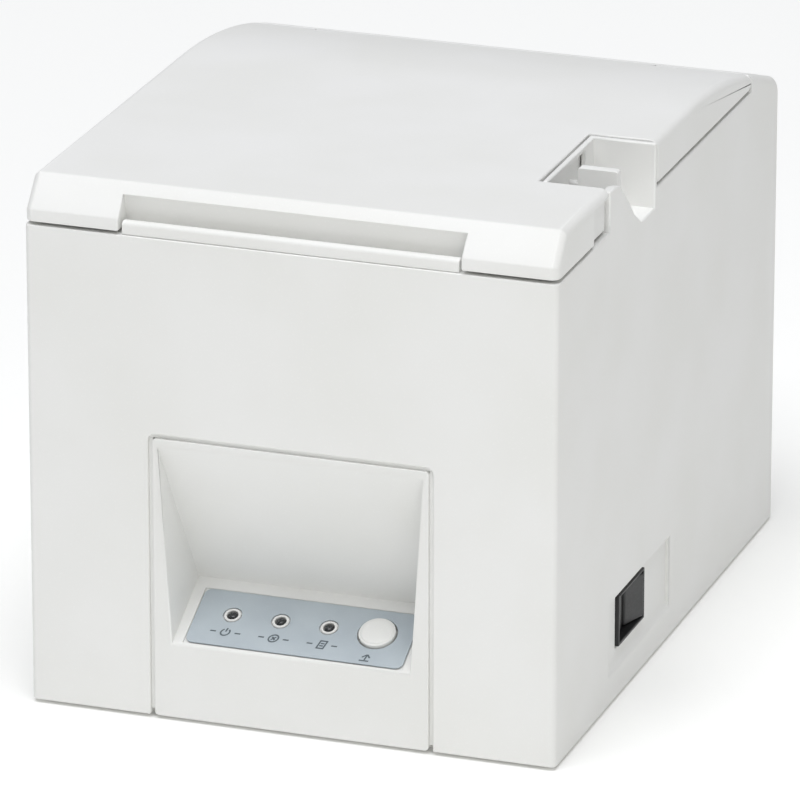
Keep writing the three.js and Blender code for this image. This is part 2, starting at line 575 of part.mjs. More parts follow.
// ---- Print frame, head and cutter ---------------------------------------------------------
function printFrame() {
  const floor = block(-54, 48.5, -89, -45, 94, 95.5);
  const cheek = [
    [-89, 94], [-45, 94], [-45, 122], [-58, 129.5], [-66.6, 129.5], [-66.6, 122.4], [-73.4, 122.4],
    [-73.4, 129.5], [-89, 129.5],
  ];
  const cheeks = mirrored((side) => alongX(cheek, ...spanX(side, 47, 48.5)));
  const bracket = alongX([[-80, 94], [-45, 94], [-45, 115], [-62, 118], [-80, 113]], -54, -52.8);
  return cut(
    union(floor, bracket, ...cheeks),
    rod('x', LATCH_Y, LATCH_Z, 3, -49.5, 49.5),
    rod('x', PLATEN_Y, IDLER_Z, 1.8, -55, -46, 16),
    rod('x', PINION_Y, PINION_Z, 2.4, -55, -52, 16),
    block(-52.6, -48.7, -88, -46, 93, 96));
}

function movingBlade() {
  return alongY([[-44, 108], [44, 108], [44, 128.5], [0, 125.5], [-44, 128.5]], -84.6, -83.8);
}

function cutterGuide() {
  const plate = block(-46.7, 46.7, -86.5, -85, 105, 128);
  const rails = mirrored((side) => block(...spanX(side, 44.4, 46.7), -85.2, -82.6, 105, 128));
  return union(plate, ...rails).subtract(block(-20, 20, -87, -84, 108, 118));
}

function buildMechanism() {
  piece('print_frame', printFrame(), finish.zincSteel);
  piece('thermal_head', block(-40, 40, -77, -62, 118.2, 119.1), finish.ceramic);
  const sink = block(-39, 39, -76, -62.4, 111, 117.9);
  const fins = [-30, -20, -10, 0, 10, 20, 30].map((x) => block(x - 1, x + 1, -77, -62, 110, 114));
  piece('head_heat_sink', cut(sink, ...fins), finish.aluminium);
  for (const [x, name] of [[-25, 'left'], [25, 'right']]) {
    const spring = piece(`head_spring_${name}`, coil(3.2, 0.45, 6, 14), finish.steel);
    spring.position.set(x, -69, 96.3);
  }
  piece('moving_blade', movingBlade(), finish.steel);
  piece('cutter_guide', cutterGuide(), finish.innerAbs);
  piece('cutter_gearbox', block(24, 44, -90, -80, 96, 104.4), finish.blackPlastic);
  piece('cutter_motor', rod('x', -85, 100.2, 4, -4, 23.7, 24), finish.zincSteel);
}

// ---- Cover lever and latch ----------------------------------------------------------------
function latchHook(side) {
  const outline = [
    ...arc(LATCH_Y, LATCH_Z, 5, -150, 90, 12), [-58, 124], [-62.6, 127.6], [-63.2, 132], [-67.1, 132],
    [-67.1, 129.4], [-66.2, 129.2], [-66.2, 121.4],
  ];
  return alongX(outline, ...spanX(side, 40.4, 42.4), [circle(LATCH_Y, LATCH_Z, 2.9)]);
}

function openLever() {
  const arm = alongX([
    ...arc(LATCH_Y, LATCH_Z, 5.2, 120, 340, 12), [-36, 124], [-31.8, 134.5], [-31.8, 142.6], [-34.6, 142.6],
    [-34.6, 134.5], [-42, 128],
  ], 50.6, 52.8, [circle(LATCH_Y, LATCH_Z, 2.9)]);
  const neck = block(52.5, 58, -34.6, -31.8, 134.6, 138.6);
  const tab = alongY(roundedRect(57, 68, 134.6, 142.8, 0.8, 3), -34.6, -31.8);
  const shield = block(52.6, POCKET.left - FIT, -33, -21.5, 134.6, 142.4);
  return union(arm, neck, tab, shield);
}

function buildLatch() {
  piece('open_lever', openLever(), finish.whiteAbs);
  piece('latch_shaft', rod('x', LATCH_Y, LATCH_Z, 2.6, -50, 53.4), finish.steel);
  piece('latch_hook_left', latchHook(-1), finish.steel);
  piece('latch_hook_right', latchHook(1), finish.steel);
  const spring = piece('lever_spring', coil(3.7, 0.4, 3, 3), finish.steel);
  spring.rotation.y = Math.PI / 2;
  spring.position.set(43.2, LATCH_Y, LATCH_Z);
}

// ---- Paper path ---------------------------------------------------------------------------
function paperBucket() {
  const half = ROLL_WIDTH / 2;
  const rim = CASE_TOP - WALL - FIT;
  const trough = (radius) => [
    ...arc(ROLL_Y, ROLL_Z, radius, 180, 360, 20), [ROLL_Y + radius, rim + 5], [ROLL_Y - radius, rim + 5],
  ];
  const outer = alongX(trough(ROLL_RADIUS + 1.8), -half - 1.8, half + 1.8);
  const inner = alongX(trough(ROLL_RADIUS), -half, half);
  return outer.subtract(inner).intersect(block(-60, 60, -60, 80, 0, rim));
}

function paperGuide() {
  const ramp = alongX([[-25.2, 129.8], [-60.2, 120.4], [-60.2, 119.2], [-25.2, 128.2]], -39.4, 39.4);
  const legs = mirrored((side) => block(...spanX(side, 35, 39.4), -49, -47.2, 95.8, 123));
  return union(ramp, ...legs).subtract(block(12, 20, -57, -51.6, 115, 125));
}

function buildPaperPath() {
  piece('paper_bucket', paperBucket(), finish.innerAbs);
  piece('paper_guide', paperGuide(), finish.innerAbs);
  piece('paper_sensor', block(12.4, 19.6, -59.6, -55.2, 112, 118.7), finish.blackPlastic);
}

// ---- Boards, sockets and switch -----------------------------------------------------------
function mainBoard() {
  const chips = [
    block(-10, 8, -20, -2, 13, 15.4), block(20, 34, 10, 20, 13, 15), block(-44, -30, -30, -18, 13, 19),
    block(-46, -36, 20, 40, 13, 21),
  ];
  const caps = [[30, -35], [42, -35], [30, -22]].map(([x, y]) => rod('z', x, y, 4, 13, 25, 16));
  return union(block(-61, 61, -58, 66, 12, 13.6), ...chips, ...caps);
}

const SOCKETS = {
  serial_socket: { x: -34, half: 15.4, z0: 20, z1: 32 },
  data_socket: { x: -6, half: 6, z0: 19, z1: 30 },
  drawer_socket: { x: 18, half: 7, z0: 19, z1: 31.5 },
  power_inlet: { x: 43, half: 6.5, z0: 19, z1: 31.5 },
};

function socket({ x, half, z0, z1 }) {
  const front = BAY_BACK + 5;
  const body = block(x - half, x + half, BAY_BACK - 3.8, front, z0, z1);
  return body.subtract(block(x - half + 1.6, x + half - 1.6, front - 6, front + 1, z0 + 1.6, z1 - 1.6));
}

function connectorBay() {
  const shell = block(-BAY_HALF - 1.8, BAY_HALF + 1.8, BAY_BACK, REAR - 0.3, 4.2, BAY_TOP + 1.8);
  const room = block(-BAY_HALF, BAY_HALF, BAY_BACK + 1.8, REAR + 1, 6, BAY_TOP);
  const windows = Object.values(SOCKETS).map(({ x, half, z0, z1 }) => block(
    x - half - FIT, x + half + FIT, BAY_BACK - 1, BAY_BACK + 3, z0 - FIT, z1 + FIT));
  return cut(shell, room, ...windows);
}

function switchBody() {
  const deep = 56;
  const bezel = block(SIDE - 2.6, SIDE - 0.4, SWITCH.y0, SWITCH.y1, SWITCH.z0, SWITCH.z1);
  const box = block(deep, SIDE - 2.4, SWITCH.y0, SWITCH.y1, SWITCH.z0, SWITCH.z1);
  const well = block(deep + 6, SIDE + 1, SWITCH.y0 + 0.9, SWITCH.y1 - 0.9, SWITCH.z0 + 0.8, SWITCH.z1 - 0.8);
  return union(bezel, box).subtract(well);
}

// The rocker turns about an upright axis and is shown with its front half pressed.
function powerRocker() {
  const mid = (SWITCH.y0 + SWITCH.y1) / 2;
  const reach = 9.85;
  const outline = [
    [0.1, -reach], [1.1, -reach], [-0.6, -1.1], [-1.5, -0.8], [-1.5, 0.8], [-0.6, 1.1], [1.1, reach], [0.1, reach],
    [-3.4, 4], [-3.4, -4],
  ];
  const low = SWITCH.z0 + 1.1;
  const high = SWITCH.z1 - 1.1;
  const geometry = extruded(outline, high - low).translate(0, 0, low);
  geometry.rotateZ(THREE.MathUtils.degToRad(-5));
  return solid(geometry.translate(SIDE - 2.2, mid, 0));
}

function buildElectronics() {
  piece('main_board', mainBoard(), finish.board);
  piece('interface_board', block(-56, 56, 72, 73.6, 15.5, 42), finish.board);
  piece('connector_bay', connectorBay(), finish.innerAbs);
  for (const [name, spot] of Object.entries(SOCKETS)) piece(name, socket(spot), finish.blackPlastic);
  piece('switch_body', switchBody(), finish.blackPlastic);
  piece('power_rocker', powerRocker(), finish.blackPlastic);
}

buildCase();
buildBase();
buildControls();
buildCover();
buildPlaten();
buildMotor();
buildMechanism();
buildLatch();
buildPaperPath();
buildElectronics();

export default printer;
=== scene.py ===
"""Desktop receipt printer: finished pieces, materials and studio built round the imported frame.

Lengths inside this file are millimetres and are turned to metres where a mesh is made.
"""

import json
import logging
import math
from dataclasses import dataclass
from enum import Enum

import bmesh
import bpy
from mathutils import Matrix, Vector


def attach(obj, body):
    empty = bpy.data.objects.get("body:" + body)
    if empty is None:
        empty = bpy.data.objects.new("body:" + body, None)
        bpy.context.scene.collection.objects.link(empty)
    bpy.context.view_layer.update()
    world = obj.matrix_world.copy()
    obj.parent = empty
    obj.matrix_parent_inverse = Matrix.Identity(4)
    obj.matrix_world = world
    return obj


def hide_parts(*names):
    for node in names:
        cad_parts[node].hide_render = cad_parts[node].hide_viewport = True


LOG = logging.getLogger("receipt_printer")
MM = 0.001

Spot = tuple[float, float]
Profile = tuple[Spot, ...]
Corner = tuple[float, float, float]
# Lowest corner, highest corner and edge radius of a box, in millimetres.
Block = tuple[Corner, Corner, float]
# Radius, wire radius, turns and length of a spring, in millimetres.
Winding = tuple[float, float, int, float]
# A material in the making: its tree, its shader, and the named nodes that a finish may extend.
Start = tuple[bpy.types.Material, bpy.types.NodeTree, bpy.types.Node, dict[str, bpy.types.Node]]

# Corners closer than this are one corner, in metres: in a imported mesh, and in a shape made here.
PACKED_MERGE = 1e-6
MADE_MERGE = 1e-7
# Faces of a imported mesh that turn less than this, in degrees, are one flat face.
FLAT_TURN = 0.4
# Edges that turn less than this, in degrees, are shaded smooth.
SMOOTH_TURN = 34.0
# Corners within this height of the lowest one, in millimetres, belong to the underside.
UNDERSIDE = 0.01
# Share of the room beside an edge that its rounding takes up.
ROUNDING_SHARE = 0.42
# The room counted beside an edge is at most this many times the edge's own length.
LENGTH_SHARE = 1.5
# Faces across each rounded edge of a box, round one turn of a spring, and round its wire.
SLAB_SEGMENTS = 3
TURN_STEPS = 28
WIRE_SIDES = 10

# Octaves of the two noises, and how much the finer ones count.
GRAIN_NOISE = {"Detail": 3.0, "Roughness": 0.55}
DRIFT_NOISE = {"Detail": 2.0, "Roughness": 0.5}
# Middle of each noise's range, which is stretched over the whole change of gloss or tone.
GRAIN_RANGE = {"From Min": 0.3, "From Max": 0.7}
DRIFT_RANGE = {"From Min": 0.35, "From Max": 0.65}

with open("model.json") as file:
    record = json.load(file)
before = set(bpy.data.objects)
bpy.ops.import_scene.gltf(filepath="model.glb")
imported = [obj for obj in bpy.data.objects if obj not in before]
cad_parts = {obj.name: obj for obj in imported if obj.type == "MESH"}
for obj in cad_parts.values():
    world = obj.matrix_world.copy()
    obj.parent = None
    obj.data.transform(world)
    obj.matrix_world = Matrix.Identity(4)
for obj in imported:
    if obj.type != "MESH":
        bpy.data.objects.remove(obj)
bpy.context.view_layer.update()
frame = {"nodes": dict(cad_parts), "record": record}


# ---- Colour and node helpers ---------------------------------------------------------------
def linear(hex_colour: str) -> tuple[float, float, float, float]:
    """Turn an sRGB hex colour into the linear RGBA that Blender works in.

    Args:
        hex_colour: Six hex digits after a hash sign.

    Returns:
        Linear red, green and blue, and an alpha of one.
    """
    parts = [int(hex_colour[i : i + 2], 16) / 255 for i in (1, 3, 5)]
    red, green, blue = (p / 12.92 if p <= 0.04045 else ((p + 0.055) / 1.055) ** 2.4 for p in parts)
    return (red, green, blue, 1.0)


def add_node(
    tree: bpy.types.NodeTree,
    kind: str,
    settings: dict[str | int, object] | None = None,
    links: dict[str | int, bpy.types.NodeSocket] | None = None,
) -> bpy.types.Node:
    """Add one node with its settings and its incoming links.

    Args:
        tree: Node tree that takes the node.
        kind: Blender's type name for the node.
        settings: Values by property name, or by input name or number.
        links: Output sockets by the input name or number they feed.

    Returns:
        The new node.
    """
    node = tree.nodes.new(kind)
    for key, value in (settings or {}).items():
        if isinstance(key, str) and hasattr(node, key):
            setattr(node, key, value)
        else:
            node.inputs[key].default_value = value
    for key, socket in (links or {}).items():
        tree.links.new(socket, node.inputs[key])
    return node


def per_mm(millimetres: float) -> float:
    """Return the texture scale whose features are this many millimetres across."""
    return 1.0 / (millimetres * MM)


class Axis(Enum):
    """Direction a brushed or drawn surface runs in."""

    X = (0.04, 1.0, 1.0)
    NONE = (1.0, 1.0, 1.0)


class Slot(Enum):
    """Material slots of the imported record."""

    CASE_WHITE = "case_white"
    PANEL_WHITE = "panel_white"
    INNER_PLASTIC = "inner_plastic"
    LABEL_GREY = "label_grey"
    LENS_SMOKE = "lens_smoke"
    BLACK_PLASTIC = "black_plastic"
    RUBBER_BLACK = "rubber_black"
    BRIGHT_STEEL = "bright_steel"
    ZINC_STEEL = "zinc_steel"
    ALUMINIUM = "aluminium"
    CERAMIC = "ceramic"
    ACETAL = "acetal"
    CIRCUIT_BOARD = "circuit_board"


class Extra(Enum):
    """Finishes of small pieces that share a slot with a larger neighbour."""

    INK = "ink"
    GOLD = "gold"
    EPOXY = "epoxy"
    GLAZE = "glaze"
    SLEEVE = "sleeve"


# ---- Finishes ------------------------------------------------------------------------------
@dataclass(frozen=True)
class Surface:
    """What every finish shares: two close tones, a gloss that varies, and a fine relief."""

    name: str
    tone: str
    shade: str
    roughness: float
    gloss_spread: float = 0.06
    grain: float = 0.7
    relief: float = 0.012
    drift: float = 35.0
    ior: float = 1.5
    run: Axis = Axis.NONE

    def start(self) -> Start:
        """Build the nodes common to all finishes.

        Returns:
            The material, its tree, its shader, and the named nodes that a finish may extend.
        """
        material = bpy.data.materials.new(self.name)
        material.use_nodes = True
        tree = material.node_tree
        shader = next(n for n in tree.nodes if n.type == "BSDF_PRINCIPLED")
        shader.inputs["IOR"].default_value = self.ior
        place = add_node(tree, "ShaderNodeTexCoord")
        along = add_node(
            tree, "ShaderNodeMapping", {"Scale": self.run.value}, {"Vector": place.outputs["Object"]})
        grain = add_node(
            tree, "ShaderNodeTexNoise", {"Scale": per_mm(self.grain), **GRAIN_NOISE},
            {"Vector": along.outputs["Vector"]})
        drift = add_node(
            tree, "ShaderNodeTexNoise", {"Scale": per_mm(self.drift), **DRIFT_NOISE},
            {"Vector": place.outputs["Object"]})
        blend = add_node(
            tree, "ShaderNodeMapRange", {**DRIFT_RANGE, "To Min": 0.0, "To Max": 1.0},
            {"Value": drift.outputs["Fac"]})
        colour = add_node(
            tree, "ShaderNodeMix", {"data_type": "RGBA", 6: linear(self.tone), 7: linear(self.shade)},
            {0: blend.outputs["Result"]})
        gloss = add_node(
            tree, "ShaderNodeMapRange",
            {**GRAIN_RANGE,
             "To Min": self.roughness - self.gloss_spread, "To Max": self.roughness + self.gloss_spread},
            {"Value": grain.outputs["Fac"]})
        bump = add_node(
            tree, "ShaderNodeBump", {"Strength": 1.0, "Distance": self.relief * MM},
            {"Height": grain.outputs["Fac"]})
        tree.links.new(colour.outputs[2], shader.inputs["Base Color"])
        tree.links.new(gloss.outputs["Result"], shader.inputs["Roughness"])
        tree.links.new(bump.outputs["Normal"], shader.inputs["Normal"])
        return material, tree, shader, {"place": place, "colour": colour}

    def make(self) -> bpy.types.Material:
        """Return the finished material."""
        return self.start()[0]


@dataclass(frozen=True)
class MouldedPlastic(Surface):
    """Injection-moulded plastic with a spark-eroded texture, matt with a broad soft highlight."""

    flecks: str = "#E4E4E1"
    pit_size: float = 1.6
    fleck_reach: float = 0.28
    fleck_share: float = 0.35

    def make(self) -> bpy.types.Material:
        """Return the plastic, with the pale flecks that a matt mould leaves."""
        material, tree, shader, nodes = self.start()
        # Real sparks leave pits of about 0.1 mm; they are drawn coarser so that they show at all.
        pits = add_node(
            tree, "ShaderNodeTexVoronoi", {"Scale": per_mm(self.grain * self.pit_size)},
            {"Vector": nodes["place"].outputs["Object"]})
        fleck = add_node(
            tree, "ShaderNodeMapRange",
            {"From Min": 0.0, "From Max": self.fleck_reach, "To Min": self.fleck_share, "To Max": 0.0},
            {"Value": pits.outputs["Distance"]})
        speckled = add_node(
            tree, "ShaderNodeMix", {"data_type": "RGBA", 7: linear(self.flecks)},
            {0: fleck.outputs["Result"], 6: nodes["colour"].outputs[2]})
        tree.links.new(speckled.outputs[2], shader.inputs["Base Color"])
        return material


@dataclass(frozen=True)
class Metal(Surface):
    """Plated, ground or cast metal: full metallic, with drawn or ground streaks."""

    def make(self) -> bpy.types.Material:
        """Return the metal."""
        material, _, shader, _ = self.start()
        shader.inputs["Metallic"].default_value = 1.0
        return material


@dataclass(frozen=True)
class LightPipe(Surface):
    """Smoked acrylic light pipe: dark, polished, and slightly clear."""

    clarity: float = 0.35

    def make(self) -> bpy.types.Material:
        """Return the acrylic."""
        material, _, shader, _ = self.start()
        shader.inputs["Transmission Weight"].default_value = self.clarity
        return material


@dataclass(frozen=True)
class Laminate(Surface):
    """Glass-epoxy circuit board: solder mask over copper tracks, with tinned pads."""

    track: str = "#2F8A5B"
    pad: str = "#C9C6B4"
    pitch: float = 2.54
    track_pitches: float = 4.0
    track_width: float = 0.035
    pad_reach: float = 0.16
    pad_scatter: float = 0.35

    def make(self) -> bpy.types.Material:
        """Return the board with its tracks and pads."""
        material, tree, shader, nodes = self.start()
        tracks = add_node(
            tree, "ShaderNodeTexBrick",
            {"Scale": per_mm(self.pitch * self.track_pitches), "Mortar Size": self.track_width,
             "Color1": (0, 0, 0, 1), "Color2": (0, 0, 0, 1), "Mortar": (1, 1, 1, 1)},
            {"Vector": nodes["place"].outputs["Object"]})
        masked = add_node(
            tree, "ShaderNodeMix", {"data_type": "RGBA", 7: linear(self.track)},
            {0: tracks.outputs["Color"], 6: nodes["colour"].outputs[2]})
        dots = add_node(
            tree, "ShaderNodeTexVoronoi", {"Scale": per_mm(self.pitch), "Randomness": self.pad_scatter},
            {"Vector": nodes["place"].outputs["Object"]})
        pads = add_node(
            tree, "ShaderNodeMath", {"operation": "LESS_THAN", 1: self.pad_reach},
            {0: dots.outputs["Distance"]})
        finished = add_node(
            tree, "ShaderNodeMix", {"data_type": "RGBA", 7: linear(self.pad)},
            {0: pads.outputs["Value"], 6: masked.outputs[2]})
        tree.links.new(finished.outputs[2], shader.inputs["Base Color"])
        return material


@dataclass(frozen=True)
class LitFloor(Surface):
    """Painted studio floor that is lit faintly from below, so that it stays pale under the object."""

    glow: float = 0.1

    def make(self) -> bpy.types.Material:
        """Return the floor paint."""
        material, _, shader, _ = self.start()
        shader.inputs["Emission Color"].default_value = linear(self.tone)
        shader.inputs["Emission Strength"].default_value = self.glow
        return material


class Finishes:
    """Every finish of the printer, made once and handed out by record slot or as an extra."""

    def __init__(self) -> None:
        """Make all the materials."""
        surfaces = {
            # Spark-eroded white ABS: matt, with a broad soft highlight.
            Slot.CASE_WHITE: MouldedPlastic(
                "moulded_abs_white", "#F0F0EE", "#EDEDEA", 0.5, grain=0.8, relief=0.010, ior=1.54,
                flecks="#F6F6F4"),
            # The same ABS from a finer mould: a touch glossier than the case.
            Slot.PANEL_WHITE: MouldedPlastic(
                "moulded_abs_panel", "#EEEEEC", "#EBEBE8", 0.48, grain=0.8, relief=0.009, ior=1.54,
                flecks="#F4F4F2"),
            # Plain ABS of the inner parts: greyer and duller than the case.
            Slot.INNER_PLASTIC: MouldedPlastic(
                "moulded_abs_inner", "#DCDCD8", "#D4D4CF", 0.55, grain=0.9, relief=0.014, ior=1.54,
                flecks="#E4E4E1"),
            # Screen-printed film: an even blue-grey with a low sheen.
            Slot.LABEL_GREY: MouldedPlastic(
                "screen_printed_polycarbonate", "#B9C3C9", "#B2BCC3", 0.38, grain=0.5, relief=0.006,
                drift=12.0, ior=1.58, flecks="#C6CED3"),
            # Polished acrylic: dark, with sharp small reflections.
            Slot.LENS_SMOKE: LightPipe(
                "polished_smoked_acrylic", "#3B3E40", "#46494B", 0.12, gloss_spread=0.03, grain=0.6,
                relief=0.002, drift=2.0, ior=1.49),
            # Moulded nylon: deep black with a soft grey highlight.
            Slot.BLACK_PLASTIC: MouldedPlastic(
                "moulded_black_nylon", "#1B1B1C", "#242425", 0.42, grain=0.6, relief=0.012, drift=9.0,
                ior=1.53, flecks="#303032"),
            # Rubber: nearly no highlight, only a dusty bloom.
            Slot.RUBBER_BLACK: MouldedPlastic(
                "moulded_black_rubber", "#242424", "#2E2D2C", 0.82, grain=0.5, relief=0.03, drift=8.0,
                ior=1.52, flecks="#3A3938"),
            # Ground steel: bright, with fine streaks that run across the printer.
            Slot.BRIGHT_STEEL: Metal(
                "ground_steel", "#C9CBCC", "#B6B9BB", 0.26, gloss_spread=0.09, grain=0.35, relief=0.003,
                drift=9.0, run=Axis.X),
            # Zinc plating: a mottled grey shine.
            Slot.ZINC_STEEL: Metal(
                "zinc_plated_sheet_steel", "#C6C9C8", "#A9AEB0", 0.38, gloss_spread=0.12, grain=1.6,
                relief=0.004, drift=7.0),
            # Cast aluminium: dull silver with a sandy surface.
            Slot.ALUMINIUM: Metal(
                "die_cast_aluminium", "#C9CACB", "#B4B6B8", 0.42, gloss_spread=0.08, grain=0.6,
                relief=0.012, drift=12.0),
            # Glazed alumina: cream, hard and glossy.
            Slot.CERAMIC: MouldedPlastic(
                "glazed_alumina", "#D9D1C2", "#CFC6B5", 0.18, grain=0.4, relief=0.002, drift=10.0,
                ior=1.76, flecks="#E2DBCD"),
            # Acetal: a waxy off-white with a soft gloss.
            Slot.ACETAL: MouldedPlastic(
                "moulded_acetal", "#F1EFE6", "#E6E3D8", 0.34, grain=0.5, relief=0.006, drift=5.0,
                ior=1.48, flecks="#F7F5EE"),
            # Solder mask: glossy green over paler tracks, with tinned pads.
            Slot.CIRCUIT_BOARD: Laminate(
                "glass_epoxy_laminate", "#1D6A44", "#185C3B", 0.3, grain=0.4, relief=0.01, drift=10.0,
                ior=1.55),
        }
        extras = {
            # Printing ink: dark grey, and duller than the film below it.
            Extra.INK: MouldedPlastic(
                "screen_print_ink", "#5D676D", "#556066", 0.5, grain=0.3, relief=0.002, drift=3.0,
                flecks="#69737A"),
            # Gold flash: a warm, bright yellow metal.
            Extra.GOLD: Metal(
                "gold_flashed_contact", "#D9B45A", "#C9A24A", 0.22, gloss_spread=0.05, grain=0.3,
                relief=0.002, drift=2.0),
            # Moulded epoxy: the matt black of chips.
            Extra.EPOXY: MouldedPlastic(
                "moulded_black_epoxy", "#19191A", "#222223", 0.5, grain=0.4, relief=0.01, drift=4.0,
                flecks="#2B2B2C"),
            # Fired glass: brown, with a wet shine.
            Extra.GLAZE: MouldedPlastic(
                "fired_glass_glaze", "#6E5B43", "#5E4D38", 0.14, grain=0.3, relief=0.001, drift=3.0,
                ior=1.6, flecks="#7B674E"),
            # Shrunk PVC: dark blue-grey with a soft gloss.
            Extra.SLEEVE: MouldedPlastic(
                "shrunk_pvc_sleeve", "#23272E", "#1C2026", 0.3, grain=0.6, relief=0.004, drift=6.0,
                flecks="#2E333B"),
        }
        self.by_slot = {slot: surface.make() for slot, surface in surfaces.items()}
        self.by_extra = {extra: surface.make() for extra, surface in extras.items()}


# ---- Shapes --------------------------------------------------------------------------------
def new_bmesh_of(node: str) -> bmesh.types.BMesh:
    """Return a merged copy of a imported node's mesh, with its flat faces joined up.

    Args:
        node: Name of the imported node.

    Returns:
        The copy, in metres.
    """
    bm = bmesh.new()
    bm.from_mesh(frame["nodes"][node].data)
    bmesh.ops.remove_doubles(bm, verts=bm.verts, dist=PACKED_MERGE)
    bmesh.ops.dissolve_limit(
        bm, angle_limit=math.radians(FLAT_TURN), verts=bm.verts, edges=bm.edges,
        use_dissolve_boundaries=False)
    return bm


def gap_between(first: bmesh.types.BMEdge, second: bmesh.types.BMEdge) -> float:
    """Measure how close two separate edges come to each other.

    Args:
        first: One edge.
        second: Another edge of the same face, which shares no corner with it.

    Returns:
        The least distance from a corner of either edge to the other edge, in metres.
    """
    spans = []
    for edge, other in ((first, second), (second, first)):
        start, run = other.verts[0].co, other.verts[1].co - other.verts[0].co
        for vert in edge.verts:
            share = min(1.0, max(0.0, (vert.co - start).dot(run) / run.length_squared))
            spans.append((start + run * share - vert.co).length)
    return min(spans)


def weigh_edges(bm: bmesh.types.BMesh, width: float, least_turn: float) -> None:
    """Give each sharp edge the share of the rounding width that its surroundings leave room for.

    Args:
        bm: Shape whose edges are weighed.
        width: Full rounding width in metres.
        least_turn: Smallest angle between faces, in degrees, that is rounded.
    """
    weight = bm.edges.layers.float.new("bevel_weight_edge")
    for edge in bm.edges:
        if not edge.is_convex or math.degrees(edge.calc_face_angle(0.0)) < least_turn:
            continue
        corners = set(edge.verts)
        near = [e.calc_length() for v in edge.verts for e in v.link_edges if e is not edge]
        facing = [e for f in edge.link_faces for e in f.edges if not corners & set(e.verts)]
        across = [gap_between(edge, e) for e in facing]
        room = min([*near, *across, edge.calc_length() * LENGTH_SHARE])
        edge[weight] = min(1.0, ROUNDING_SHARE * room / width)


def revolve(profile: Profile, steps: int = 40) -> bmesh.types.BMesh:
    """Turn a profile of (radius, height) points into a closed solid about Z.

    Args:
        profile: Points in millimetres, from the axis at the top to the axis at the bottom.
        steps: Faces round the turn.

    Returns:
        The turned solid, in metres.
    """
    bm = bmesh.new()
    verts = [bm.verts.new((r * MM, 0.0, z * MM)) for r, z in profile]
    edges = [bm.edges.new(pair) for pair in zip(verts, verts[1:])]
    bmesh.ops.spin(
        bm, geom=[*verts, *edges], cent=(0, 0, 0), axis=(0, 0, 1), angle=math.tau, steps=steps,
        use_merge=True)
    bmesh.ops.remove_doubles(bm, verts=bm.verts, dist=MADE_MERGE)
    bmesh.ops.recalc_face_normals(bm, faces=bm.faces)
    return bm


def slab(low: Corner, high: Corner, edge: float) -> bmesh.types.BMesh:
    """Make a box between two corners with rounded edges.

    Args:
        low: Lowest corner in millimetres.
        high: Highest corner in millimetres.
        edge: Radius of the rounded edges in millimetres.

    Returns:
        The box, in metres.
    """
    bm = bmesh.new()
    size = [b - a for a, b in zip(low, high)]
    middle = [(a + b) / 2 for a, b in zip(low, high)]
    bmesh.ops.create_cube(bm, size=1.0)
    bmesh.ops.scale(bm, vec=Vector(size) * MM, verts=bm.verts)
    bmesh.ops.translate(bm, vec=Vector(middle) * MM, verts=bm.verts)
    bmesh.ops.bevel(
        bm, geom=bm.edges, offset=edge * MM, offset_type="OFFSET", affect="EDGES", segments=SLAB_SEGMENTS,
        profile=0.5, material=-1, clamp_overlap=True)
    return bm


def coil(radius: float, wire: float, turns: int, length: float) -> bmesh.types.BMesh:
    """Wind a round wire into a compression spring along Z.

    Args:
        radius: Radius of the winding in millimetres.
        wire: Radius of the wire in millimetres.
        turns: Number of turns.
        length: Travel of the winding in millimetres.

    Returns:
        The spring, in metres.
    """
    bm = bmesh.new()
    steps = turns * TURN_STEPS
    made = bmesh.ops.create_circle(bm, cap_ends=True, radius=wire * MM, segments=WIRE_SIDES)
    turn = Matrix.Translation((radius * MM, 0, 0)) @ Matrix.Rotation(math.pi / 2, 4, "X")
    bmesh.ops.transform(bm, matrix=turn, verts=made["verts"])
    start = list(bm.faces)
    ends = bmesh.ops.duplicate(bm, geom=[*start, *{e for f in start for e in f.edges}, *made["verts"]])
    rim = [g for g in ends["geom"] if not isinstance(g, bmesh.types.BMFace)]
    caps = [g for g in ends["geom"] if isinstance(g, bmesh.types.BMFace)]
    bmesh.ops.delete(bm, geom=caps, context="FACES_ONLY")
    swept = bmesh.ops.spin(
        bm, geom=rim, cent=(0, 0, 0), axis=(0, 0, 1), dvec=(0, 0, length * MM / steps),
        angle=math.tau * turns, steps=steps)
    last = [g for g in swept["geom_last"] if isinstance(g, bmesh.types.BMEdge)]
    bmesh.ops.holes_fill(bm, edges=last, sides=0)
    bmesh.ops.remove_doubles(bm, verts=bm.verts, dist=MADE_MERGE)
    bmesh.ops.recalc_face_normals(bm, faces=bm.faces)
    return bm


def joined(*parts: bmesh.types.BMesh) -> bmesh.types.BMesh:
    """Put several separate shells into one shape.

    Args:
        parts: The shells; they are used up.

    Returns:
        One shape that holds them all.
    """
    whole = bmesh.new()
    for part in parts:
        scratch = bpy.data.meshes.new("scratch")
        part.to_mesh(scratch)
        whole.from_mesh(scratch)
        bpy.data.meshes.remove(scratch)
        part.free()
    return whole


def moved(bm: bmesh.types.BMesh, matrix: Matrix) -> bmesh.types.BMesh:
    """Carry every vertex of a shape by a matrix and return the shape."""
    bmesh.ops.transform(bm, matrix=matrix, verts=bm.verts)
    return bm


def at(x: float, y: float, z: float) -> Matrix:
    """Return the shift to a place given in millimetres."""
    return Matrix.Translation(Vector((x, y, z)) * MM)


TURN_TO_X = Matrix.Rotation(math.pi / 2, 4, "Y")
TURN_TO_REAR = Matrix.Rotation(-math.pi / 2, 4, "X")


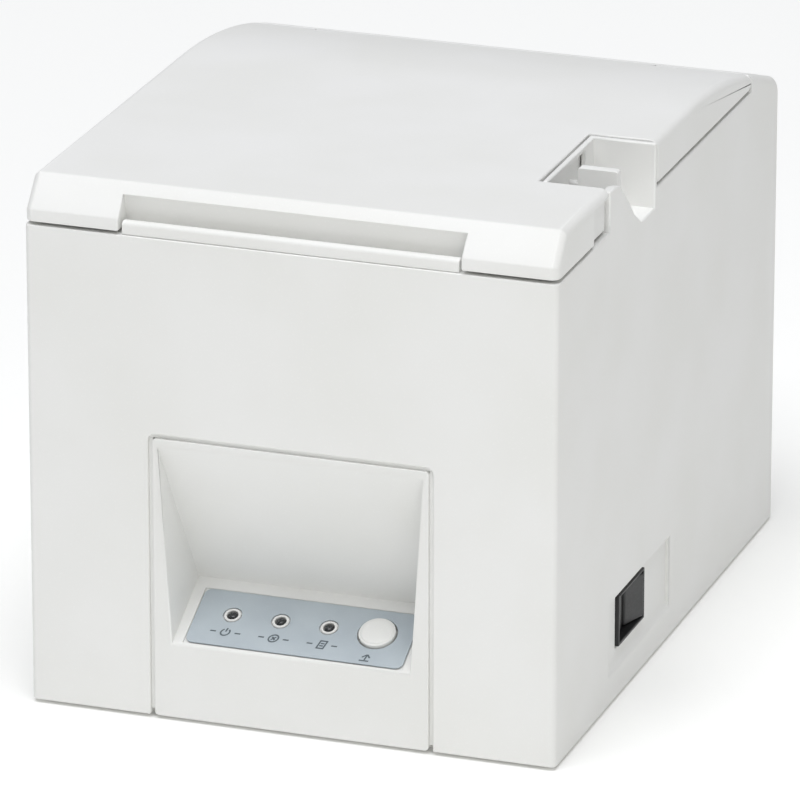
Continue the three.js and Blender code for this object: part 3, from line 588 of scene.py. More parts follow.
# ---- Pieces --------------------------------------------------------------------------------
@dataclass
class Assembly:
    """One sub-assembly: it knows the finishes and turns shapes into pieces on their bodies."""

    finishes: Finishes
    body: str = "root"

    def show(
        self, bm: bmesh.types.BMesh, name: str, slot: Slot, *, body: str | None = None,
        finish: Extra | None = None, replaces: tuple[str, ...] = (), rounding: float = 0.0, segments: int = 2,
    ) -> bpy.types.Object:
        """Turn a shape into a piece with its finish, riding on its body.

        Args:
            bm: The shape, in metres and in place; it is used up.
            name: Name of the piece.
            slot: Material slot of the record that the piece belongs to.
            body: Body it rides on, if not the assembly's own.
            finish: Extra finish that is used in place of the slot's own.
            replaces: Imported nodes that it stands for.
            rounding: Width of the live edge rounding in millimetres, or nothing for none.
            segments: Faces across each rounded edge.

        Returns:
            The piece.
        """
        for face in bm.faces:
            face.smooth = True
        for edge in bm.edges:
            edge.smooth = math.degrees(edge.calc_face_angle(0.0)) < SMOOTH_TURN
        mesh = bpy.data.meshes.new(name)
        bm.to_mesh(mesh)
        bm.free()
        piece = bpy.data.objects.new(name, mesh)
        bpy.context.scene.collection.objects.link(piece)
        if rounding:
            bevel = piece.modifiers.new("edge rounding", "BEVEL")
            bevel.width = rounding * MM
            bevel.segments = segments
            bevel.profile = 0.5
            bevel.limit_method = "WEIGHT"
            bevel.use_clamp_overlap = False
            bevel.loop_slide = False
            even = piece.modifiers.new("even shading", "WEIGHTED_NORMAL")
            even.keep_sharp = True
        mesh.materials.append(self.finishes.by_extra[finish] if finish else self.finishes.by_slot[slot])
        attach(piece, body or self.body)
        if replaces:
            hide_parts(*replaces)
        LOG.info("made %s", name)
        return piece

    def refine(
        self, node: str, slot: Slot, rounding: float = 0.3, segments: int = 2, least_turn: float = 28.0,
        settle: float = 0.0,
    ) -> None:
        """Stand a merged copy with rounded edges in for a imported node.

        Args:
            node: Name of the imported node.
            slot: Material slot of the record.
            rounding: Width of the edge rounding in millimetres.
            segments: Faces across each rounded edge.
            least_turn: Smallest angle between faces, in degrees, that is rounded.
            settle: How far the underside is let down, in millimetres, to close a working gap.
        """
        bm = new_bmesh_of(node)
        if settle:
            lowest = min(v.co.z for v in bm.verts)
            under = [v for v in bm.verts if v.co.z < lowest + UNDERSIDE * MM]
            bmesh.ops.translate(bm, vec=(0.0, 0.0, -settle * MM), verts=under)
        weigh_edges(bm, rounding * MM, least_turn)
        self.show(bm, f"{node}_finished", slot, body=body_of(node), replaces=(node,), rounding=rounding,
                  segments=segments)


def body_of(node: str) -> str:
    """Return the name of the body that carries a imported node."""
    bodies = frame["record"]["behaviour"]["bodies"]
    return next(name for name, nodes in bodies.items() if node in nodes)


@dataclass
class Housing(Assembly):
    """Outer case, exit lip, base plate, feet and base screws."""

    lip_settle: float = 0.22
    foot_spots: tuple[tuple[str, float, float], ...] = (
        ("front_left", -56.0, -78.0), ("front_right", 56.0, -78.0), ("rear_left", -56.0, 70.0),
        ("rear_right", 56.0, 70.0))
    foot_profile: Profile = (
        (0.0, 2.3), (5.8, 2.3), (6.0, 2.1), (6.0, 0.7), (5.85, 0.3), (5.5, 0.05), (5.2, 0.0), (4.1, 0.0),
        (3.8, 0.1), (3.6, 0.4), (0.0, 0.4))

    def build(self) -> None:
        """Make the shell, the base and what it stands on."""
        self.refine("upper_case", Slot.CASE_WHITE, rounding=0.45, segments=3)
        self.refine("paper_exit_lip", Slot.CASE_WHITE, rounding=0.25, settle=self.lip_settle)
        self.refine("base_plate", Slot.INNER_PLASTIC, rounding=0.3)
        for corner, x, y in self.foot_spots:
            foot = moved(revolve(self.foot_profile), at(x, y, 0.0))
            self.show(foot, f"foot_{corner}", Slot.RUBBER_BLACK, replaces=(f"rubber_foot_{corner}",))
            self.refine(f"base_screw_{corner}", Slot.ZINC_STEEL, rounding=0.12)


@dataclass(frozen=True)
class Pictogram:
    """One printed mark, in millimetres and degrees.

    Its strokes are (x, y, length, turn) about its middle, and its ring is (radius, gap).
    """

    name: str
    strokes: tuple[tuple[float, float, float, float], ...]
    ring: Spot | None = None
    ticks: bool = True


@dataclass
class ControlPanel(Assembly):
    """Front panel with the scooped recess, the printed label, lights and feed button."""

    origin: Corner = (0.0, -97.5, 21.6)
    slope: float = math.atan2(11.0, 22.0)
    line: float = 12.5
    pitch: float = 13.4
    mark_line: float = 6.3
    lean: float = 0.22
    stroke: float = 0.42
    ink: Spot = (0.13, 0.19)
    ink_edge: float = 0.02
    ring_steps: int = 36
    tick: Spot = (3.4, 1.6)
    pictograms: tuple[Pictogram, ...] = (
        Pictogram("mark_power", ((0.0, 0.85, 1.3, 90.0),), (1.15, 70.0)),
        Pictogram("mark_fault", ((0.0, 0.0, 1.5, 45.0), (0.0, 0.0, 1.5, -45.0)), (1.25, 0.0)),
        Pictogram("mark_paper", (
            (-0.9, 0.0, 2.6, 90.0), (0.9, 0.0, 2.6, 90.0), (0.0, 1.3, 2.2, 0.0), (0.0, -1.3, 2.2, 0.0),
            (0.0, 0.4, 1.0, 0.0), (0.0, -0.4, 1.0, 0.0))),
        Pictogram("mark_feed", (
            (0.0, -2.4, 1.8, 90.0), (-0.55, -1.9, 1.5, 45.0), (0.55, -1.9, 1.5, -45.0),
            (0.0, -3.55, 2.6, 0.0)), ticks=False))
    panel_edge: Spot = (37.9, 78.3)
    groove: float = 1.2
    flange_depth: Spot = (0.9, 2.2)
    flange_foot: float = 2.5
    flange_joint: float = 0.02
    flange_edge: float = 0.1
    lights: tuple[str, ...] = ("power_light", "error_light", "paper_light")
    lens_steps: int = 28
    lens_profile: Profile = (
        (0.0, 0.35), (0.45, 0.33), (0.85, 0.22), (1.08, 0.05), (1.18, -0.2), (1.2, -0.5), (1.2, -8.4),
        (1.05, -8.6), (0.0, -8.6))
    button_steps: int = 56
    button_profile: Profile = (
        (0.0, 1.3), (3.4, 1.28), (4.0, 1.22), (4.3, 1.1), (4.45, 0.92), (4.8, 0.86), (4.93, 0.7), (4.95, 0.5),
        (4.95, -2.1), (6.1, -2.2), (6.2, -2.35), (6.2, -3.1), (6.05, -3.2), (1.5, -3.2), (1.5, -4.9),
        (1.3, -5.1), (0.0, -5.1))
    spring: Winding = (4.9, 0.3, 4, 3.5)
    spring_seat: float = -8.4

    @property
    def shelf(self) -> Matrix:
        """Place of the shelf: X across, Y up the shelf, Z out of it."""
        return at(*self.origin) @ Matrix.Rotation(self.slope, 4, "X")

    def column(self, number: int) -> float:
        """Return the place across the shelf of the numbered light, mark or button."""
        return self.pitch * (number - len(self.lights) / 2)

    def bar(self, x: float, y: float, length: float, turn: float) -> bmesh.types.BMesh:
        """Make one printed stroke.

        Args:
            x: Place of its middle across the shelf in millimetres.
            y: Place of its middle up the shelf in millimetres.
            length: Length in millimetres.
            turn: Turn from the direction across the shelf, in degrees.

        Returns:
            The stroke on the shelf, in metres.
        """
        half = self.stroke / 2
        low, high = self.ink
        stroke = slab((-length / 2, -half, low), (length / 2, half, high), self.ink_edge)
        return moved(stroke, at(x, y, 0.0) @ Matrix.Rotation(math.radians(turn), 4, "Z"))

    def ring(self, x: float, y: float, radius: float, gap: float) -> bmesh.types.BMesh:
        """Make a printed ring, open at the top by a gap.

        Args:
            x: Place of its middle across the shelf in millimetres.
            y: Place of its middle up the shelf in millimetres.
            radius: Radius in millimetres.
            gap: Width of the opening in degrees, or nothing for a closed ring.

        Returns:
            The ring on the shelf, in metres.
        """
        bm = bmesh.new()
        half = self.stroke / 2 * MM
        low, high = self.ink
        outline = ((-1, low), (1, low), (1, high), (-1, high))
        corners = [(radius * MM + side * half, 0.0, z * MM) for side, z in outline]
        section = bm.faces.new([bm.verts.new(corner) for corner in corners])
        bmesh.ops.rotate(
            bm, verts=bm.verts, cent=(0, 0, 0), matrix=Matrix.Rotation(math.radians(90 + gap / 2), 3, "Z"))
        geom = [*section.edges, *section.verts]
        if gap:
            geom.append(section)
        else:
            bmesh.ops.delete(bm, geom=[section], context="FACES_ONLY")
        bmesh.ops.spin(
            bm, geom=geom, cent=(0, 0, 0), axis=(0, 0, 1), angle=math.radians(360 - gap),
            steps=self.ring_steps, use_merge=gap == 0)
        bmesh.ops.remove_doubles(bm, verts=bm.verts, dist=MADE_MERGE)
        bmesh.ops.recalc_face_normals(bm, faces=bm.faces)
        return moved(bm, at(x, y, 0.0))

    def marks(self) -> None:
        """Print the four plain pictograms: power, fault, paper and feed."""
        y = self.mark_line
        lean = Matrix(((1, self.lean, 0, -self.lean * y * MM), (0, 1, 0, 0), (0, 0, 1, 0), (0, 0, 0, 1)))
        reach, tick = self.tick
        for number, mark in enumerate(self.pictograms):
            x = self.column(number)
            strokes = [self.ring(x, y, *mark.ring)] if mark.ring else []
            strokes += [self.bar(x + u, y + v, length, turn) for u, v, length, turn in mark.strokes]
            if mark.ticks:
                strokes += [self.bar(x + side * reach, y, tick, 0.0) for side in (-1, 1)]
            printed = moved(joined(*strokes), self.shelf @ lean)
            self.show(printed, mark.name, Slot.LABEL_GREY, finish=Extra.INK)

    def flange(self) -> None:
        """Close the groove round the panel with the panel's own rear flange."""
        front, rear = (self.origin[1] + depth for depth in self.flange_depth)
        inner, top = self.panel_edge
        outer, foot = inner + self.groove, self.flange_foot
        below = top - self.flange_joint
        spans = (
            ((-outer, front, foot), (-inner, rear, below)), ((inner, front, foot), (outer, rear, below)),
            ((-outer, front, top), (outer, rear, top + self.groove)))
        strips = [slab(low, high, self.flange_edge) for low, high in spans]
        self.show(joined(*strips), "panel_flange", Slot.PANEL_WHITE)

    def build(self) -> None:
        """Make the panel and everything on its shelf."""
        self.refine("front_panel", Slot.PANEL_WHITE, rounding=0.4, segments=3)
        self.flange()
        self.refine("control_label", Slot.LABEL_GREY, rounding=0.08)
        self.marks()
        for number, light in enumerate(self.lights):
            spot = self.shelf @ at(self.column(number), self.line, 0.0)
            lens = moved(revolve(self.lens_profile, self.lens_steps), spot)
            self.show(lens, f"{light}_lens", Slot.LENS_SMOKE, replaces=(light,))
        spot = self.shelf @ at(self.column(len(self.lights)), self.line, 0.0)
        cap = moved(revolve(self.button_profile, self.button_steps), spot)
        self.show(cap, "feed_button_cap", Slot.CASE_WHITE, body="button", replaces=("feed_button",))
        spring = moved(coil(*self.spring), spot @ at(0.0, 0.0, self.spring_seat))
        self.show(spring, "button_return_spring", Slot.BRIGHT_STEEL, replaces=("button_spring",))
        self.refine("panel_board", Slot.CIRCUIT_BOARD, rounding=0.1)


@dataclass
class PaperCover(Assembly):
    """Lift-up cover with its inner frame, tear blade and hinge pins."""

    def build(self) -> None:
        """Make the cover and what it carries."""
        self.refine("paper_cover", Slot.CASE_WHITE, rounding=0.45, segments=3)
        self.refine("cover_frame", Slot.INNER_PLASTIC, rounding=0.3)
        self.refine("fixed_blade", Slot.BRIGHT_STEEL, rounding=0.1)
        for side in ("left", "right"):
            self.refine(f"hinge_pin_{side}", Slot.BRIGHT_STEEL, rounding=0.15)


@dataclass
class PrintEngine(Assembly):
    """Platen, gears, motor, thermal head and cutter on the print frame."""

    platen: Spot = (-70.0, 126.0)
    roller_steps: int = 48
    roller_profile: Profile = (
        (2.8, 39.5), (5.9, 39.5), (6.3, 39.35), (6.5, 39.0), (6.5, -39.0), (6.3, -39.35), (5.9, -39.5),
        (2.8, -39.5), (2.8, 39.5))
    axle_steps: int = 32
    axle_profile: Profile = (
        (0.0, 48.8), (2.1, 48.8), (2.5, 48.4), (2.5, -52.2), (2.1, -52.6), (0.0, -52.6))
    roundings: tuple[tuple[str, Slot, float], ...] = (
        ("platen_gear", Slot.ACETAL, 0.15), ("idler_gear", Slot.ACETAL, 0.15),
        ("motor_pinion", Slot.BRIGHT_STEEL, 0.12),
        ("platen_bush_left", Slot.ACETAL, 0.25), ("platen_bush_right", Slot.ACETAL, 0.25),
        ("idler_axle", Slot.BRIGHT_STEEL, 0.2), ("feed_motor", Slot.ZINC_STEEL, 0.5),
        ("print_frame", Slot.ZINC_STEEL, 0.25), ("thermal_head", Slot.CERAMIC, 0.1),
        ("head_heat_sink", Slot.ALUMINIUM, 0.3), ("moving_blade", Slot.BRIGHT_STEEL, 0.1),
        ("cutter_guide", Slot.INNER_PLASTIC, 0.3), ("cutter_gearbox", Slot.BLACK_PLASTIC, 0.5),
        ("cutter_motor", Slot.ZINC_STEEL, 0.4))
    spring: Winding = (3.2, 0.45, 6, 14.0)
    spring_seat: Spot = (-69.0, 96.3)
    spring_sides: tuple[tuple[str, float], ...] = (("left", -25.0), ("right", 25.0))
    heater_place: Corner = (0.0, -71.0, 119.05)
    heater_steps: int = 16
    heater_profile: Profile = (
        (0.0, 38.0), (0.25, 37.8), (0.32, 37.4), (0.32, -37.4), (0.25, -37.8), (0.0, -38.0))
    coating: Block = ((-36.0, -67.6, 119.0), (36.0, -64.6, 119.75), 0.35)
    ribbon_socket: Block = ((-18.0, -63.9, 118.9), (18.0, -62.2, 120.4), 0.2)

    def rollers(self) -> None:
        """Make the rubber roller and the axle it turns on."""
        axis = at(0.0, *self.platen) @ TURN_TO_X
        rubber = moved(revolve(self.roller_profile, self.roller_steps), axis)
        self.show(rubber, "platen_rubber", Slot.RUBBER_BLACK, body="platen", replaces=("platen_roller",))
        axle = moved(revolve(self.axle_profile, self.axle_steps), axis)
        self.show(axle, "platen_axle", Slot.BRIGHT_STEEL, body="platen", replaces=("platen_shaft",))

    def head_details(self) -> None:
        """Lay the heater line, the driver coating and the ribbon socket on the thermal head."""
        heater = moved(revolve(self.heater_profile, self.heater_steps), at(*self.heater_place) @ TURN_TO_X)
        self.show(heater, "heater_line", Slot.CERAMIC, finish=Extra.GLAZE)
        self.show(slab(*self.coating), "driver_coating", Slot.BLACK_PLASTIC, finish=Extra.EPOXY)
        self.show(slab(*self.ribbon_socket), "head_ribbon_socket", Slot.ACETAL)

    def build(self) -> None:
        """Make the print engine."""
        self.rollers()
        for node, slot, rounding in self.roundings:
            self.refine(node, slot, rounding=rounding)
        for side, x in self.spring_sides:
            spring = moved(coil(*self.spring), at(x, *self.spring_seat))
            self.show(
                spring, f"head_pressure_spring_{side}", Slot.BRIGHT_STEEL, replaces=(f"head_spring_{side}",))
        self.head_details()


@dataclass
class CoverLatch(Assembly):
    """Opening lever, latch shaft, hooks and return spring."""

    spring: Winding = (3.7, 0.4, 3, 3.0)
    spring_place: Corner = (43.2, -52.0, 116.0)

    def build(self) -> None:
        """Make the latch."""
        self.refine("open_lever", Slot.CASE_WHITE, rounding=0.35, segments=3)
        self.refine("latch_shaft", Slot.BRIGHT_STEEL, rounding=0.3)
        self.refine("latch_hook_left", Slot.BRIGHT_STEEL, rounding=0.2)
        self.refine("latch_hook_right", Slot.BRIGHT_STEEL, rounding=0.2)
        spring = moved(coil(*self.spring), at(*self.spring_place) @ TURN_TO_X)
        self.show(spring, "lever_return_spring", Slot.BRIGHT_STEEL, replaces=("lever_spring",))


@dataclass
class PaperWell(Assembly):
    """Bucket for the paper roll, paper guide and paper sensor."""

    def build(self) -> None:
        """Make the paper path."""
        self.refine("paper_bucket", Slot.INNER_PLASTIC, rounding=0.35)
        self.refine("paper_guide", Slot.INNER_PLASTIC, rounding=0.3)
        self.refine("paper_sensor", Slot.BLACK_PLASTIC, rounding=0.4)


@dataclass
class MainBoard(Assembly):
    """Main board with its chips, capacitors, header and choke."""

    laminate: Block = ((-61.0, -58.0, 12.0), (61.0, 66.0, 13.6), 0.12)
    # Near and far corner and height of each chip, its leads counted in.
    chips: tuple[tuple[float, float, float, float, float], ...] = (
        (-10.0, -20.0, 8.0, -2.0, 1.8), (20.0, 10.0, 34.0, 20.0, 1.4))
    chip_inset: float = 1.2
    chip_lift: float = 0.1
    chip_edge: float = 0.25
    lead: Block = ((-0.2, -0.6, 0.0), (0.2, 0.7, 0.25), 0.06)
    lead_pitch: float = 1.27
    lead_line: float = 0.6
    lead_margin: float = 3.0
    cans: Profile = ((30.0, -35.0), (42.0, -35.0), (30.0, -22.0))
    can_steps: int = 32
    can_profile: Profile = (
        (0.0, 11.2), (3.1, 11.2), (3.3, 11.4), (3.7, 11.4), (3.95, 11.1), (4.0, 10.7), (4.0, 1.6),
        (3.75, 1.3), (3.75, 1.0), (4.0, 0.7), (4.0, 0.1), (3.9, 0.0), (0.0, 0.0))
    header: Block = ((-46.0, 20.0, 13.6), (-36.0, 40.0, 21.0), 0.4)
    choke: Block = ((-44.0, -30.0, 13.6), (-30.0, -18.0, 19.0), 0.9)

    @property
    def top(self) -> float:
        """Height of the board's upper face in millimetres."""
        return self.laminate[1][2]

    def leads(self, x0: float, y0: float, x1: float, y1: float) -> list[bmesh.types.BMesh]:
        """Make the two rows of leads of one chip.

        Args:
            x0: Left end in millimetres.
            y0: Near side in millimetres.
            x1: Right end in millimetres.
            y1: Far side in millimetres.

        Returns:
            The leads, in metres and in place.
        """
        count = int((x1 - x0 - self.lead_margin) / self.lead_pitch)
        across = [(x0 + x1) / 2 + (i - (count - 1) / 2) * self.lead_pitch for i in range(count)]
        rows = (y0 + self.lead_line, y1 - self.lead_line)
        return [moved(slab(*self.lead), at(x, y, self.top)) for x in across for y in rows]

    def build(self) -> None:
        """Make the board and the parts on it."""
        self.show(slab(*self.laminate), "main_board_laminate", Slot.CIRCUIT_BOARD, replaces=("main_board",))
        bodies, leads = [], []
        for x0, y0, x1, y1, height in self.chips:
            low = (x0 + self.chip_inset, y0 + self.chip_inset, self.top + self.chip_lift)
            high = (x1 - self.chip_inset, y1 - self.chip_inset, self.top + height)
            bodies.append(slab(low, high, self.chip_edge))
            leads += self.leads(x0, y0, x1, y1)
        self.show(joined(*bodies), "board_chips", Slot.BLACK_PLASTIC, finish=Extra.EPOXY)
        self.show(joined(*leads), "board_chip_leads", Slot.BRIGHT_STEEL)
        cans = [moved(revolve(self.can_profile, self.can_steps), at(x, y, self.top)) for x, y in self.cans]
        self.show(joined(*cans), "board_capacitors", Slot.ALUMINIUM, finish=Extra.SLEEVE)
        self.show(slab(*self.header), "board_header", Slot.ACETAL)
        self.show(slab(*self.choke), "board_choke", Slot.BLACK_PLASTIC, finish=Extra.EPOXY)


@dataclass
class RearSockets(Assembly):
    """Interface board, connector bay, and the four rear sockets with their contacts.

    A socket's own sizes are counted across and up from its centre; depths are the printer's.
    """

    pin_steps: int = 12
    pin_profile: Profile = (
        (0.0, 0.0), (0.2, 0.0), (0.42, -0.25), (0.5, -0.6), (0.5, -4.4), (0.0, -4.4))
    serial_centre: Spot = (-34.0, 26.0)
    serial_body: Block = ((-15.4, 74.2, -6.0), (15.4, 80.0, 6.0), 0.3)
    serial_flange: Block = ((-15.4, 80.0, -6.0), (15.4, 80.8, 6.0), 0.25)
    shell_outline: Profile = ((-8.45, 4.1), (8.45, 4.1), (7.2, -4.1), (-7.2, -4.1))
    shell_seat: float = 80.7
    shell_corner: float = 1.9
    shell_segments: int = 5
    shell_wall: float = 0.45
    shell_depth: float = 2.3
    core_depth: float = 1.1
    serial_rows: tuple[tuple[int, float], ...] = ((5, 1.42), (4, -1.42))
    serial_pitch: float = 2.76
    serial_tip: float = 82.5
    jack_place: Spot = (12.5, 82.4)
    jack_sides: int = 6
    jack_profile: Profile = (
        (0.9, 0.0), (2.2, 0.0), (2.6, -0.4), (2.6, -1.7), (0.0, -1.7), (0.0, -1.0), (0.9, -1.0), (0.9, 0.0))
    data_centre: Spot = (-6.0, 24.5)
    data_tongue: Block = ((-2.8, 76.9, -1.55), (2.8, 82.0, 1.55), 0.45)
    data_contact: Block = ((-0.5, 77.2, -0.12), (0.5, 81.4, 0.12), 0.08)
    data_spots: Profile = ((-1.25, -1.56), (-1.25, 1.56), (1.25, -1.56), (1.25, 1.56))
    drawer_centre: Spot = (18.0, 25.25)
    drawer_ways: int = 6
    drawer_pitch: float = 1.27
    drawer_wire: Block = ((-0.19, -2.6, -0.19), (0.19, 2.6, 0.19), 0.12)
    drawer_wire_place: Spot = (79.9, 2.4)
    drawer_lean: float = -24.0
    drawer_tooth: Block = ((-0.2, 77.0, 3.5), (0.2, 82.2, 4.7), 0.1)
    power_centre: Spot = (43.0, 25.25)
    power_core: Block = ((-4.85, 77.0, -4.6), (4.85, 79.6, 4.6), 0.2)
    power_key: Block = ((-1.0, 79.5, 2.6), (1.0, 82.1, 3.9), 0.2)
    power_pins: float = 2.2
    power_turns: tuple[float, ...] = (180.0, 55.0, -55.0)
    power_tip: float = 82.0
    power_face: float = 82.7
    power_steps: int = 40
    power_profile: Profile = (
        (4.1, 0.0), (4.45, 0.0), (4.5, -0.1), (4.5, -3.6), (4.0, -3.6), (4.0, -0.1), (4.1, 0.0))

    def pin(self, x: float, z: float, tip: float) -> bmesh.types.BMesh:
        """Make one round contact pin that points out of the rear, its tip at the given depth."""
        return moved(revolve(self.pin_profile, self.pin_steps), at(x, tip, z) @ TURN_TO_REAR)

    def serial_shell(self) -> None:
        """Draw the rounded steel shell of the serial socket, and the core inside it."""
        x, z = self.serial_centre
        shell = bmesh.new()
        corners = [Vector((x + u, self.shell_seat, z + v)) * MM for u, v in self.shell_outline]
        shell.faces.new([shell.verts.new(corner) for corner in corners])
        bmesh.ops.bevel(
            shell, geom=shell.verts, offset=self.shell_corner * MM, affect="VERTICES",
            segments=self.shell_segments, profile=0.5, material=-1)
        rim = bmesh.ops.inset_region(
            shell, faces=shell.faces, thickness=self.shell_wall * MM, use_even_offset=True,
            use_boundary=True)["faces"]
        inner = [f for f in shell.faces if f not in rim]
        core = bmesh.new()
        core.faces.new([core.verts.new(v.co) for v in inner[0].verts])
        bmesh.ops.delete(shell, geom=inner, context="FACES_ONLY")
        for sheet, depth in ((shell, self.shell_depth), (core, self.core_depth)):
            grown = bmesh.ops.extrude_face_region(sheet, geom=list(sheet.faces), use_keep_orig=True)["geom"]
            top = [g for g in grown if isinstance(g, bmesh.types.BMVert)]
            bmesh.ops.translate(sheet, vec=(0.0, depth * MM, 0.0), verts=top)
            bmesh.ops.recalc_face_normals(sheet, faces=sheet.faces)
        self.show(shell, "serial_shell", Slot.ZINC_STEEL)
        self.show(core, "serial_core", Slot.BLACK_PLASTIC)

    def serial(self) -> None:
        """Make the nine-way serial socket: body, flange, shell, pins and jack screws."""
        x, z = self.serial_centre
        centre = at(x, 0.0, z)
        body = moved(slab(*self.serial_body), centre)
        self.show(body, "serial_body", Slot.BLACK_PLASTIC, replaces=("serial_socket",))
        self.show(moved(slab(*self.serial_flange), centre), "serial_flange", Slot.ZINC_STEEL)
        self.serial_shell()
        pins = [
            self.pin(x + (i - (ways - 1) / 2) * self.serial_pitch, z + up, self.serial_tip)
            for ways, up in self.serial_rows for i in range(ways)]
        self.show(joined(*pins), "serial_pins", Slot.BRIGHT_STEEL, finish=Extra.GOLD)
        reach, face = self.jack_place
        for side, name in ((-1, "left"), (1, "right")):
            place = at(x + side * reach, face, z) @ TURN_TO_REAR
            nut = moved(revolve(self.jack_profile, self.jack_sides), place)
            self.show(nut, f"jack_screw_{name}", Slot.ZINC_STEEL)

    def data(self) -> None:
        """Make the square data socket: steel shell, tongue and four contacts."""
        x, z = self.data_centre
        self.refine("data_socket", Slot.ZINC_STEEL, rounding=0.35)
        self.show(moved(slab(*self.data_tongue), at(x, 0.0, z)), "data_tongue", Slot.ACETAL)
        strips = [moved(slab(*self.data_contact), at(x + u, 0.0, z + v)) for u, v in self.data_spots]
        self.show(joined(*strips), "data_contacts", Slot.BRIGHT_STEEL, finish=Extra.GOLD)

    def drawer(self) -> None:
        """Make the cash drawer socket with its six spring contacts."""
        x, z = self.drawer_centre
        self.refine("drawer_socket", Slot.BLACK_PLASTIC, rounding=0.3)
        lean = Matrix.Rotation(math.radians(self.drawer_lean), 4, "X")
        depth, up = self.drawer_wire_place
        middle = (self.drawer_ways - 1) / 2
        wires = [
            moved(slab(*self.drawer_wire), at(x + (i - middle) * self.drawer_pitch, depth, z + up) @ lean)
            for i in range(self.drawer_ways)]
        self.show(joined(*wires), "drawer_contacts", Slot.BRIGHT_STEEL, finish=Extra.GOLD)
        comb = [
            moved(slab(*self.drawer_tooth), at(x + (i - self.drawer_ways / 2) * self.drawer_pitch, 0.0, z))
            for i in range(self.drawer_ways + 1)]
        self.show(joined(*comb), "drawer_comb", Slot.BLACK_PLASTIC)

    def power(self) -> None:
        """Make the round three-pin power inlet."""
        x, z = self.power_centre
        centre = at(x, 0.0, z)
        self.refine("power_inlet", Slot.BLACK_PLASTIC, rounding=0.3)
        self.show(moved(slab(*self.power_core), centre), "power_core", Slot.BLACK_PLASTIC)
        ring = moved(revolve(self.power_profile, self.power_steps), at(x, self.power_face, z) @ TURN_TO_REAR)
        self.show(ring, "power_ring", Slot.ZINC_STEEL)
        turns = [math.radians(turn) for turn in self.power_turns]
        spots = [(self.power_pins * math.sin(turn), self.power_pins * math.cos(turn)) for turn in turns]
        pins = [self.pin(x + u, z + v, self.power_tip) for u, v in spots]
        self.show(joined(*pins), "power_pins", Slot.BRIGHT_STEEL, finish=Extra.GOLD)
        self.show(moved(slab(*self.power_key), centre), "power_key", Slot.BLACK_PLASTIC)

    def build(self) -> None:
        """Make everything behind the rear opening."""
        self.refine("interface_board", Slot.CIRCUIT_BOARD, rounding=0.15)
        self.refine("connector_bay", Slot.INNER_PLASTIC, rounding=0.35)
        self.serial()
        self.data()
        self.drawer()
        self.power()


@dataclass
class PowerSwitch(Assembly):
    """Rocker switch on the right side."""

    def build(self) -> None:
        """Make the switch body and its rocker."""
        self.refine("switch_body", Slot.BLACK_PLASTIC, rounding=0.25)
        self.refine("power_rocker", Slot.BLACK_PLASTIC, rounding=0.35, segments=3)


# ---- Studio --------------------------------------------------------------------------------
@dataclass(frozen=True)
class SoftLight:
    """Square soft light, turned to the object: degrees, millimetres and watts."""

    name: str
    azimuth: float
    elevation: float
    distance: float
    size: float
    power: float
    tint: str


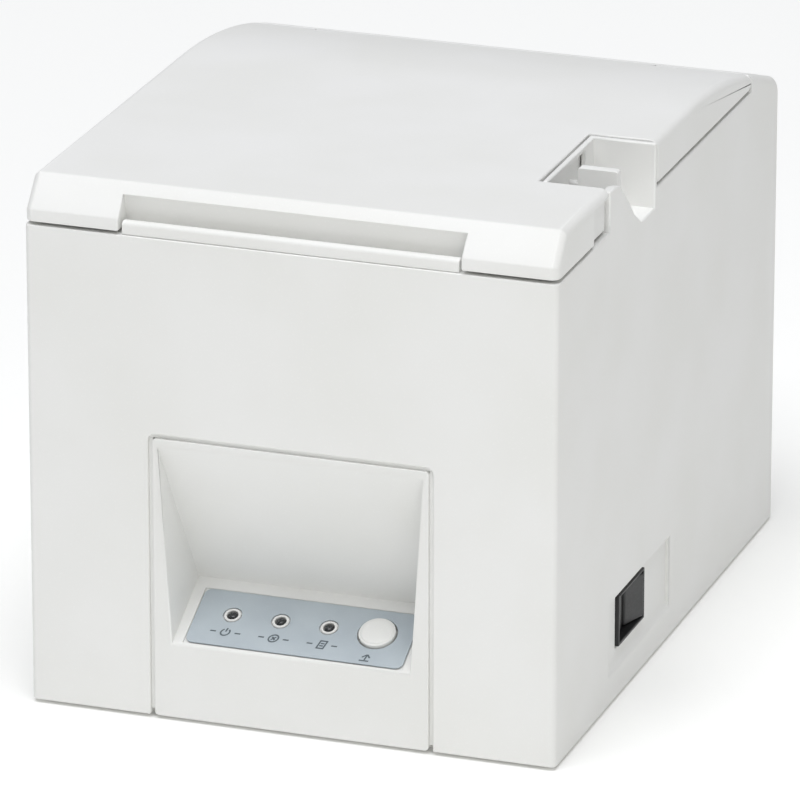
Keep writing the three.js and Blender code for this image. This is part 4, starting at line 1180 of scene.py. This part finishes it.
@dataclass
class Studio:
    """Camera, soft lights and the pale floor."""

    target: Corner = (-3.84, 0.0, 59.26)
    azimuth: float = 19.24
    elevation: float = 20.15
    distance: float = 2162.5
    lens: float = 361.44
    sensor: float = 36.0
    # How far the camera sees, and half the side of the floor, in metres.
    sight: float = 50.0
    floor_half: float = 12.0
    sky_tint: str = "#FCFDFF"
    sky_strength: float = 0.22
    lights: tuple[SoftLight, ...] = (
        SoftLight("key", 2.0, 70.0, 4000.0, 3200.0, 92.0, "#FBFCFF"),
        SoftLight("overhead", 10.0, 88.0, 4000.0, 3000.0, 58.0, "#FBFCFF"),
        SoftLight("corner_fill", 34.0, 20.0, 900.0, 420.0, 0.8, "#FFFDF6"))

    def aim(self, thing: bpy.types.Object, azimuth: float, elevation: float, distance: float) -> None:
        """Place a camera or a light round the object and turn it to the middle.

        Args:
            thing: The camera or the light.
            azimuth: Direction round the object in degrees.
            elevation: Height above the horizon in degrees.
            distance: Distance from the object in millimetres.
        """
        a, e = math.radians(azimuth), math.radians(elevation)
        back = Vector((math.sin(a) * math.cos(e), -math.cos(a) * math.cos(e), math.sin(e)))
        thing.location = Vector(self.target) * MM + back * distance * MM
        thing.rotation_euler = back.to_track_quat("Z", "Y").to_euler()
        bpy.context.scene.collection.objects.link(thing)

    def camera(self) -> None:
        """Make the camera."""
        data = bpy.data.cameras.new("camera")
        data.lens = self.lens
        data.sensor_width = self.sensor
        data.clip_end = self.sight
        thing = bpy.data.objects.new("camera", data)
        self.aim(thing, self.azimuth, self.elevation, self.distance)
        bpy.context.scene.camera = thing

    def light(self, lamp: SoftLight) -> None:
        """Hang one soft light.

        Args:
            lamp: The light to hang.
        """
        data = bpy.data.lights.new(lamp.name, "AREA")
        data.shape = "SQUARE"
        data.size = lamp.size * MM
        data.energy = lamp.power
        data.color = linear(lamp.tint)[:3]
        self.aim(bpy.data.objects.new(lamp.name, data), lamp.azimuth, lamp.elevation, lamp.distance)

    def floor(self) -> None:
        """Lay the pale floor."""
        bm = bmesh.new()
        bmesh.ops.create_grid(bm, x_segments=1, y_segments=1, size=self.floor_half)
        mesh = bpy.data.meshes.new("floor")
        bm.to_mesh(mesh)
        bm.free()
        floor = bpy.data.objects.new("floor", mesh)
        bpy.context.scene.collection.objects.link(floor)
        paint = LitFloor("painted_studio_floor", "#FBFBF9", "#FAFAF8", 0.9, relief=0.0, drift=600.0)
        mesh.materials.append(paint.make())

    def sky(self) -> None:
        """Set the even light that comes from all round."""
        world = bpy.data.worlds.new("studio")
        bpy.context.scene.world = world
        world.use_nodes = True
        sky = world.node_tree.nodes["Background"]
        sky.inputs["Color"].default_value = linear(self.sky_tint)
        sky.inputs["Strength"].default_value = self.sky_strength

    def build(self) -> None:
        """Set up the picture."""
        self.camera()
        for lamp in self.lights:
            self.light(lamp)
        self.floor()
        self.sky()
        bpy.context.scene.view_settings.view_transform = "Standard"


def main() -> None:
    """Build every assembly in order, then the studio."""
    logging.basicConfig(level=logging.INFO, format="%(message)s")
    finishes = Finishes()
    assemblies = (
        Housing, ControlPanel, PaperCover, PrintEngine, CoverLatch, PaperWell, MainBoard, RearSockets,
        PowerSwitch)
    for assembly in assemblies:
        assembly(finishes).build()
    Studio().build()


if __name__ == "__main__":
    main()
